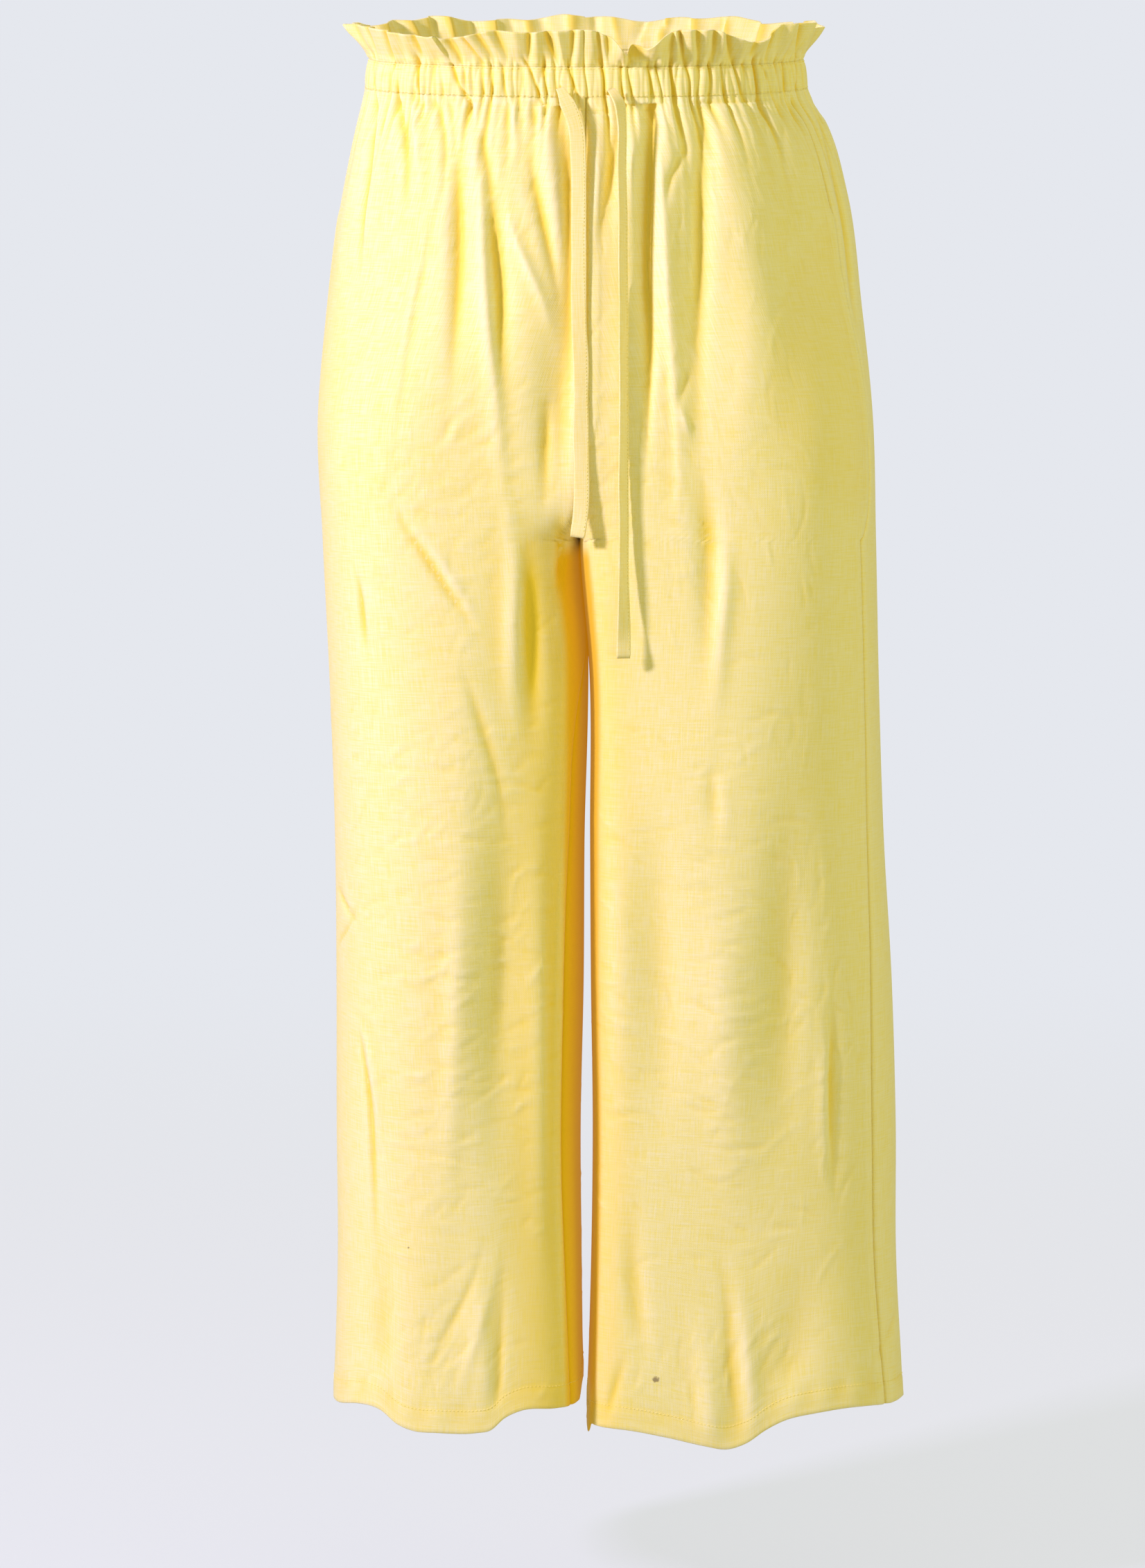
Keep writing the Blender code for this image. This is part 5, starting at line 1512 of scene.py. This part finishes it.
def tie(name, route, cad_name, material, rng):
    """A flat tie: a rounded oblong section, pressed in along its row of stitches, whose width
    and edges wander a little, and whose end is folded up and thicker."""
    at, middle, wide, out = tie_frames(route)
    length = at[-1]
    around = np.linspace(0, 2 * math.pi, TIE_SECTION, endpoint=False)
    across, through_way = (
        np.sign(way) * np.abs(way) ** power
        for way, power in zip((np.cos(around), np.sin(around)), SECTION_POWERS)
    )
    noise = rng.normal(0, 1, (3, TIE_KNOTS))
    knots = np.linspace(0, length, TIE_KNOTS)
    widths = TIE_WIDTH / 2 * (1 + 0.035 * through(at, knots, noise[0]))
    sway = 0.0004 * through(at, knots, noise[1])
    to_end = length - at
    thick = TIE_THICK / 2 * (1 + 0.5 * (1 - smooth_step((to_end - TIE_FOLD) / 0.002)))
    thick = thick * (0.30 + 0.70 * smooth_step(to_end / 0.0012))
    taper = 0.55 + 0.45 * smooth_step(at / 0.014)
    widths = widths * taper * (0.93 + 0.07 * smooth_step(to_end / 0.0015))
    from_stitches = across * TIE_WIDTH / 2 - (TIE_WIDTH / 2 - TIE_STITCH_IN)
    pressed = 1 - 0.35 * np.exp(-((from_stitches / 0.0007) ** 2))
    ridge = 1 + 0.25 * np.exp(-((np.abs(across) - 0.93) / 0.05) ** 2)
    section = through_way * pressed * ridge
    aside = (widths[:, None] * across[None] + sway[:, None])[..., None]
    raised = (thick[:, None] * section[None])[..., None]
    grid = middle[:, None] + wide[:, None] * aside + out[:, None] * raised
    points = np.concatenate([grid.reshape(-1, 3), middle[:1], middle[-1:]])
    index = joined(np.arange(TIE_ROWS * TIE_SECTION).reshape(TIE_ROWS, TIE_SECTION))
    quads = quads_on(index)[:, [0, 3, 2, 1]]
    first, last = len(points) - 2, len(points) - 1
    caps = np.concatenate([
        np.stack([index[0, :-1], np.full(TIE_SECTION, first), index[0, 1:]], -1),
        np.stack([index[-1, 1:], np.full(TIE_SECTION, last), index[-1, :-1]], -1),
    ])
    uv = np.dstack(np.broadcast_arrays(widths[:, None] * across[None], at[:, None])).reshape(-1, 2)
    uv = np.concatenate([uv, [[0, 0], [0, length]]])
    made = new_piece(name, points, quads, caps, material, uv, {"painted_shade": np.zeros(len(points))})
    outside(made)
    stand_for(made, cad_name)
    return made, at, middle, wide * widths[:, None], out, thick


# ---------------------------------------------------------------- stitches
STITCH_SIDES, STITCH_STEPS = 6, 5


def stitches(name, lines, material, pitch=0.0026, share=0.72, radius=0.00022):
    """Short stitches along lines on the cloth: each a small spindle, its middle raised. lines are
    pairs of points and the ways out at them."""
    centres, ways, outs = [], [], []
    for points, normals in lines:
        run = covered_by(points)
        count = max(int(run[-1] / pitch), 1)
        at = (np.arange(count) + 0.5) * run[-1] / count
        ahead, behind = (along_line(at + step, run, points) for step in (pitch / 4, -pitch / 4))
        centres.append(along_line(at, run, points))
        ways.append(ahead - behind)
        outs.append(along_line(at, run, normals))
    centre, way, out = np.concatenate(centres), np.concatenate(ways), np.concatenate(outs)
    way /= np.linalg.norm(way, axis=1, keepdims=True)
    side = np.cross(way, out)
    side /= np.linalg.norm(side, axis=1, keepdims=True)
    out = np.cross(side, way)
    along = np.linspace(-1, 1, STITCH_STEPS)
    thick = radius * np.sqrt(1 - (0.96 * along) ** 2)
    lift = radius * 1.2 * (1 - along**2) - radius * 0.3
    turn = np.linspace(0, 2 * math.pi, STITCH_SIDES, endpoint=False)
    shape = (
        centre[:, None, None]
        + way[:, None, None] * (along * pitch * share / 2)[None, :, None, None]
        + out[:, None, None]
        * (lift[None, :, None] + thick[None, :, None] * np.sin(turn))[..., None]
        + side[:, None, None] * (thick[None, :, None] * np.cos(turn))[..., None]
    )
    count = len(centre)
    size = STITCH_STEPS * STITCH_SIDES
    index = np.arange(size).reshape(STITCH_STEPS, STITCH_SIDES)
    quads = quads_on(joined(index))
    fan = np.array([(0, k, k + 1) for k in range(1, STITCH_SIDES - 1)])
    caps = np.concatenate([index[0][fan], index[-1][fan][:, ::-1]])
    step = (np.arange(count) * size)[:, None, None]
    made = new_piece(
        name, shape.reshape(-1, 3), (quads[None] + step).reshape(-1, 4),
        (caps[None] + step).reshape(-1, 3), material,
    )
    outside(made)
    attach(made, "root")
    return made


def thread_material():
    """Matt sewing thread in the cloth's colour, finely mottled."""
    material, tree, shader = principled("sewing thread", {"Roughness": 0.6})
    where = node(tree, "ShaderNodeTexCoord").outputs["Object"]
    noise = node(tree, "ShaderNodeTexNoise", {"Vector": where, "Scale": 2600.0, "Detail": 1.0})
    colour = mixed(tree, noise.outputs["Fac"], (*CLOTH, 1.0), (*THREAD, 1.0))
    tree.links.new(colour, shader.inputs["Base Color"])
    return material


# ---------------------------------------------------------------- pockets


def pocket_bag(side, grid, inner, material):
    """A flat bag of two layers of cloth behind a front panel, in the lobe that shows through."""
    heights = grid.heights[:, 0]
    top = int(np.searchsorted(-heights, -POCKET_TOP_Z))
    low = int(np.searchsorted(-heights, -POCKET_LOW_Z))
    rows = np.linspace(top, low, POCKET_ROWS).astype(int)
    out = grid.normals()
    _, last = to_edges(grid)
    columns = np.arange(last.shape[1])
    reach = np.maximum(pocket_reach(heights[rows]), POCKET_LEAST)
    share = np.linspace(1.0, 0.0, POCKET_COLUMNS)
    outer, ways = [], []
    for row, wide in zip(rows, reach):
        at = np.interp(share * wide, last[row][::-1], columns[::-1])
        outer.append(along_line(at, columns, inner[row] - out[row] * POCKET_BEHIND))
        ways.append(along_line(at, columns, out[row]))
    outer, ways = np.array(outer), np.array(ways)
    down = np.sin(math.pi * np.linspace(0, 1, POCKET_ROWS))
    puff = POCKET_THICK + POCKET_PUFF * np.sin(math.pi * share)[None] * down[:, None]
    uv = np.dstack(np.broadcast_arrays(share[None] * reach[:, None], heights[rows][:, None]))
    made = shell_piece(
        f"pocket_bag_{side}", f"pocket_{side}", "pocket_cloth", outer,
        outer - ways * puff[..., None], uv, {"painted_shade": np.zeros(puff.shape)}, material,
        turned=side == "right",
    )
    return made


# ---------------------------------------------------------------- camera, floor and light


def camera():
    """The photograph's view: 2.5 m in front, a little above the middle, aimed down 5.7 degrees."""
    data = bpy.data.cameras.new("camera")
    data.sensor_fit = "VERTICAL"
    data.sensor_height = 24.0
    distance = float(np.linalg.norm(AIMED_AT - CAMERA_AT))
    frame_height = PHOTO_HEIGHT / PIXELS_PER_METRE
    data.lens = data.sensor_height * distance / frame_height
    data.clip_end = 60.0
    made = bpy.data.objects.new("camera", data)
    made.location = CAMERA_AT
    made.rotation_euler = Vector(AIMED_AT - CAMERA_AT).to_track_quat("-Z", "Y").to_euler()
    bpy.context.scene.collection.objects.link(made)
    bpy.context.scene.camera = made


FLOOR_Z = -1.07
FLOOR_RADIUS = 9.0


def floor():
    """A pale round floor that fades into the background all round."""
    bpy.ops.mesh.primitive_circle_add(
        vertices=96, radius=FLOOR_RADIUS, fill_type="NGON", location=(0, 0, FLOOR_Z)
    )
    made = bpy.context.object
    made.name = "floor"
    material, tree, shader = principled("pale floor", {
        "Base Color": (0.80, 0.81, 0.84, 1.0), "Roughness": 0.9,
    })
    where = node(tree, "ShaderNodeTexCoord")
    away = node(tree, "ShaderNodeVectorMath", {0: where.outputs["Object"]}, operation="LENGTH")
    seen = node(tree, "ShaderNodeMapRange", {
        "Value": away.outputs["Value"], "From Min": 0.8, "From Max": 3.2,
        "To Min": 0.25, "To Max": 0.0,
    }, interpolation_type="SMOOTHSTEP")
    tree.links.new(seen.outputs[0], shader.inputs["Alpha"])
    made.data.materials.append(material)


BACKDROP = (0.785, 0.805, 0.855)
ROOM_LIGHT, ROOM_STRENGTH = (1.0, 0.975, 0.72), 0.38


def world():
    """A pale background that also lights the cloth softly from all round, a little less than it
    shows."""
    made = bpy.data.worlds.new("pale room")
    bpy.context.scene.world = made
    made.use_nodes = True
    tree = made.node_tree
    tree.nodes.clear()
    path = node(tree, "ShaderNodeLightPath")
    shown = node(tree, "ShaderNodeBackground", {"Color": (*BACKDROP, 1.0), "Strength": 1.0})
    lit = node(tree, "ShaderNodeBackground", {
        "Color": (*ROOM_LIGHT, 1.0), "Strength": ROOM_STRENGTH,
    })
    mix = node(tree, "ShaderNodeMixShader", {
        0: path.outputs["Is Camera Ray"], 1: lit.outputs[0], 2: shown.outputs[0],
    })
    out = node(tree, "ShaderNodeOutputWorld")
    tree.links.new(mix.outputs[0], out.inputs["Surface"])


# name, place, size in metres, watts, colour
LIGHTS = (
    ("key", (-2.45, -1.7, 0.9), 0.35, 132.0, (0.73, 0.62, 1.0)),
    ("front_fill", (0.8, -3.2, 0.3), 2.0, 15.0, (1.0, 0.97, 0.60)),
    ("side_fill", (2.6, -0.8, 0.3), 1.6, 19.0, (1.0, 0.97, 0.60)),
    ("back_fill", (0.0, 3.0, 1.6), 2.2, 40.0, (1.0, 0.97, 0.88)),
)
LIT_PLACE = Vector((0.0, 0.0, -0.45))


def lights():
    """Soft square lamps that all face the middle of the trousers."""
    for name, place, size, watts, colour in LIGHTS:
        data = bpy.data.lights.new(name, "AREA")
        data.shape = "SQUARE"
        data.size, data.energy, data.color = size, watts, colour
        made = bpy.data.objects.new(name, data)
        made.location = place
        made.rotation_euler = (LIT_PLACE - Vector(place)).to_track_quat("-Z", "Y").to_euler()
        bpy.context.scene.collection.objects.link(made)


# ---------------------------------------------------------------- the whole
rng = np.random.default_rng(SEED)
camera()
floor()
world()
lights()
bpy.context.scene.view_settings.view_transform = "Standard"

tie_linen = linen("tie linen", pitch=0.0006, cloth=(0.92, 0.75, 0.20))
body_linen = linen("linen")
front_linen = {
    "left": linen("linen with a stain", marks=(STAIN,)),
    "right": linen("linen with a fleck", marks=(FLECK,)),
}
pocket_linen = linen("pocket linen", cloth=(0.88, 0.67, 0.13))
thread = thread_material()

right_tie, *right_run = tie("tie_right", RIGHT_TIE, "drawstring_right", tie_linen, rng)
left_tie, *left_run = tie("tie_left", LEFT_TIE, "drawstring_left", tie_linen, rng)
inset = 1 - TIE_STITCH_IN / (TIE_WIDTH / 2)
tie_stitches = []
for _, middle, wide, out, thick in (right_run, left_run):
    line = middle + wide * inset + out * (thick * TIE_PRESSED)[:, None]
    tie_stitches.append((line[TIE_SEWN], out[TIE_SEWN]))

GATHERS = all_gathers(rng)
front_lines = crease_lines(FRONT_CREASES, False)
back_lines = crease_lines(BACK_CREASES, True)
marks = crumple_marks(rng)
hem_lines = []
for side in ("left", "right"):
    for piece in ("front", "back"):
        material = front_linen[side] if piece == "front" else body_linen
        made, grid, outer, inner = panel(side, piece, front_lines + back_lines, marks, material)
        stitch_z = HEM_Z + HEM_HEIGHT
        hem_lines.append((row_at(grid, outer, stitch_z), row_at(grid, grid.normals(), stitch_z)))
        if piece == "front":
            pocket_bag(side, grid, inner, pocket_linen)
casing_piece, casing_outer, casing_out = casing(body_linen)
ruffle_piece = ruffle(rng, body_linen)
closed = np.r_[0:RING_COLUMNS, 0]
casing_lines = [(casing_outer[row][closed], casing_out[closed]) for row in (1, -2)]

hem_thread = stitches("hem_stitches", hem_lines, thread)
casing_thread = stitches("casing_stitches", casing_lines, thread)
tie_thread = [
    stitches(f"tie_stitches_{k}", [line], thread, 0.0024, 0.7, 0.0002)
    for k, line in enumerate(tie_stitches)
]
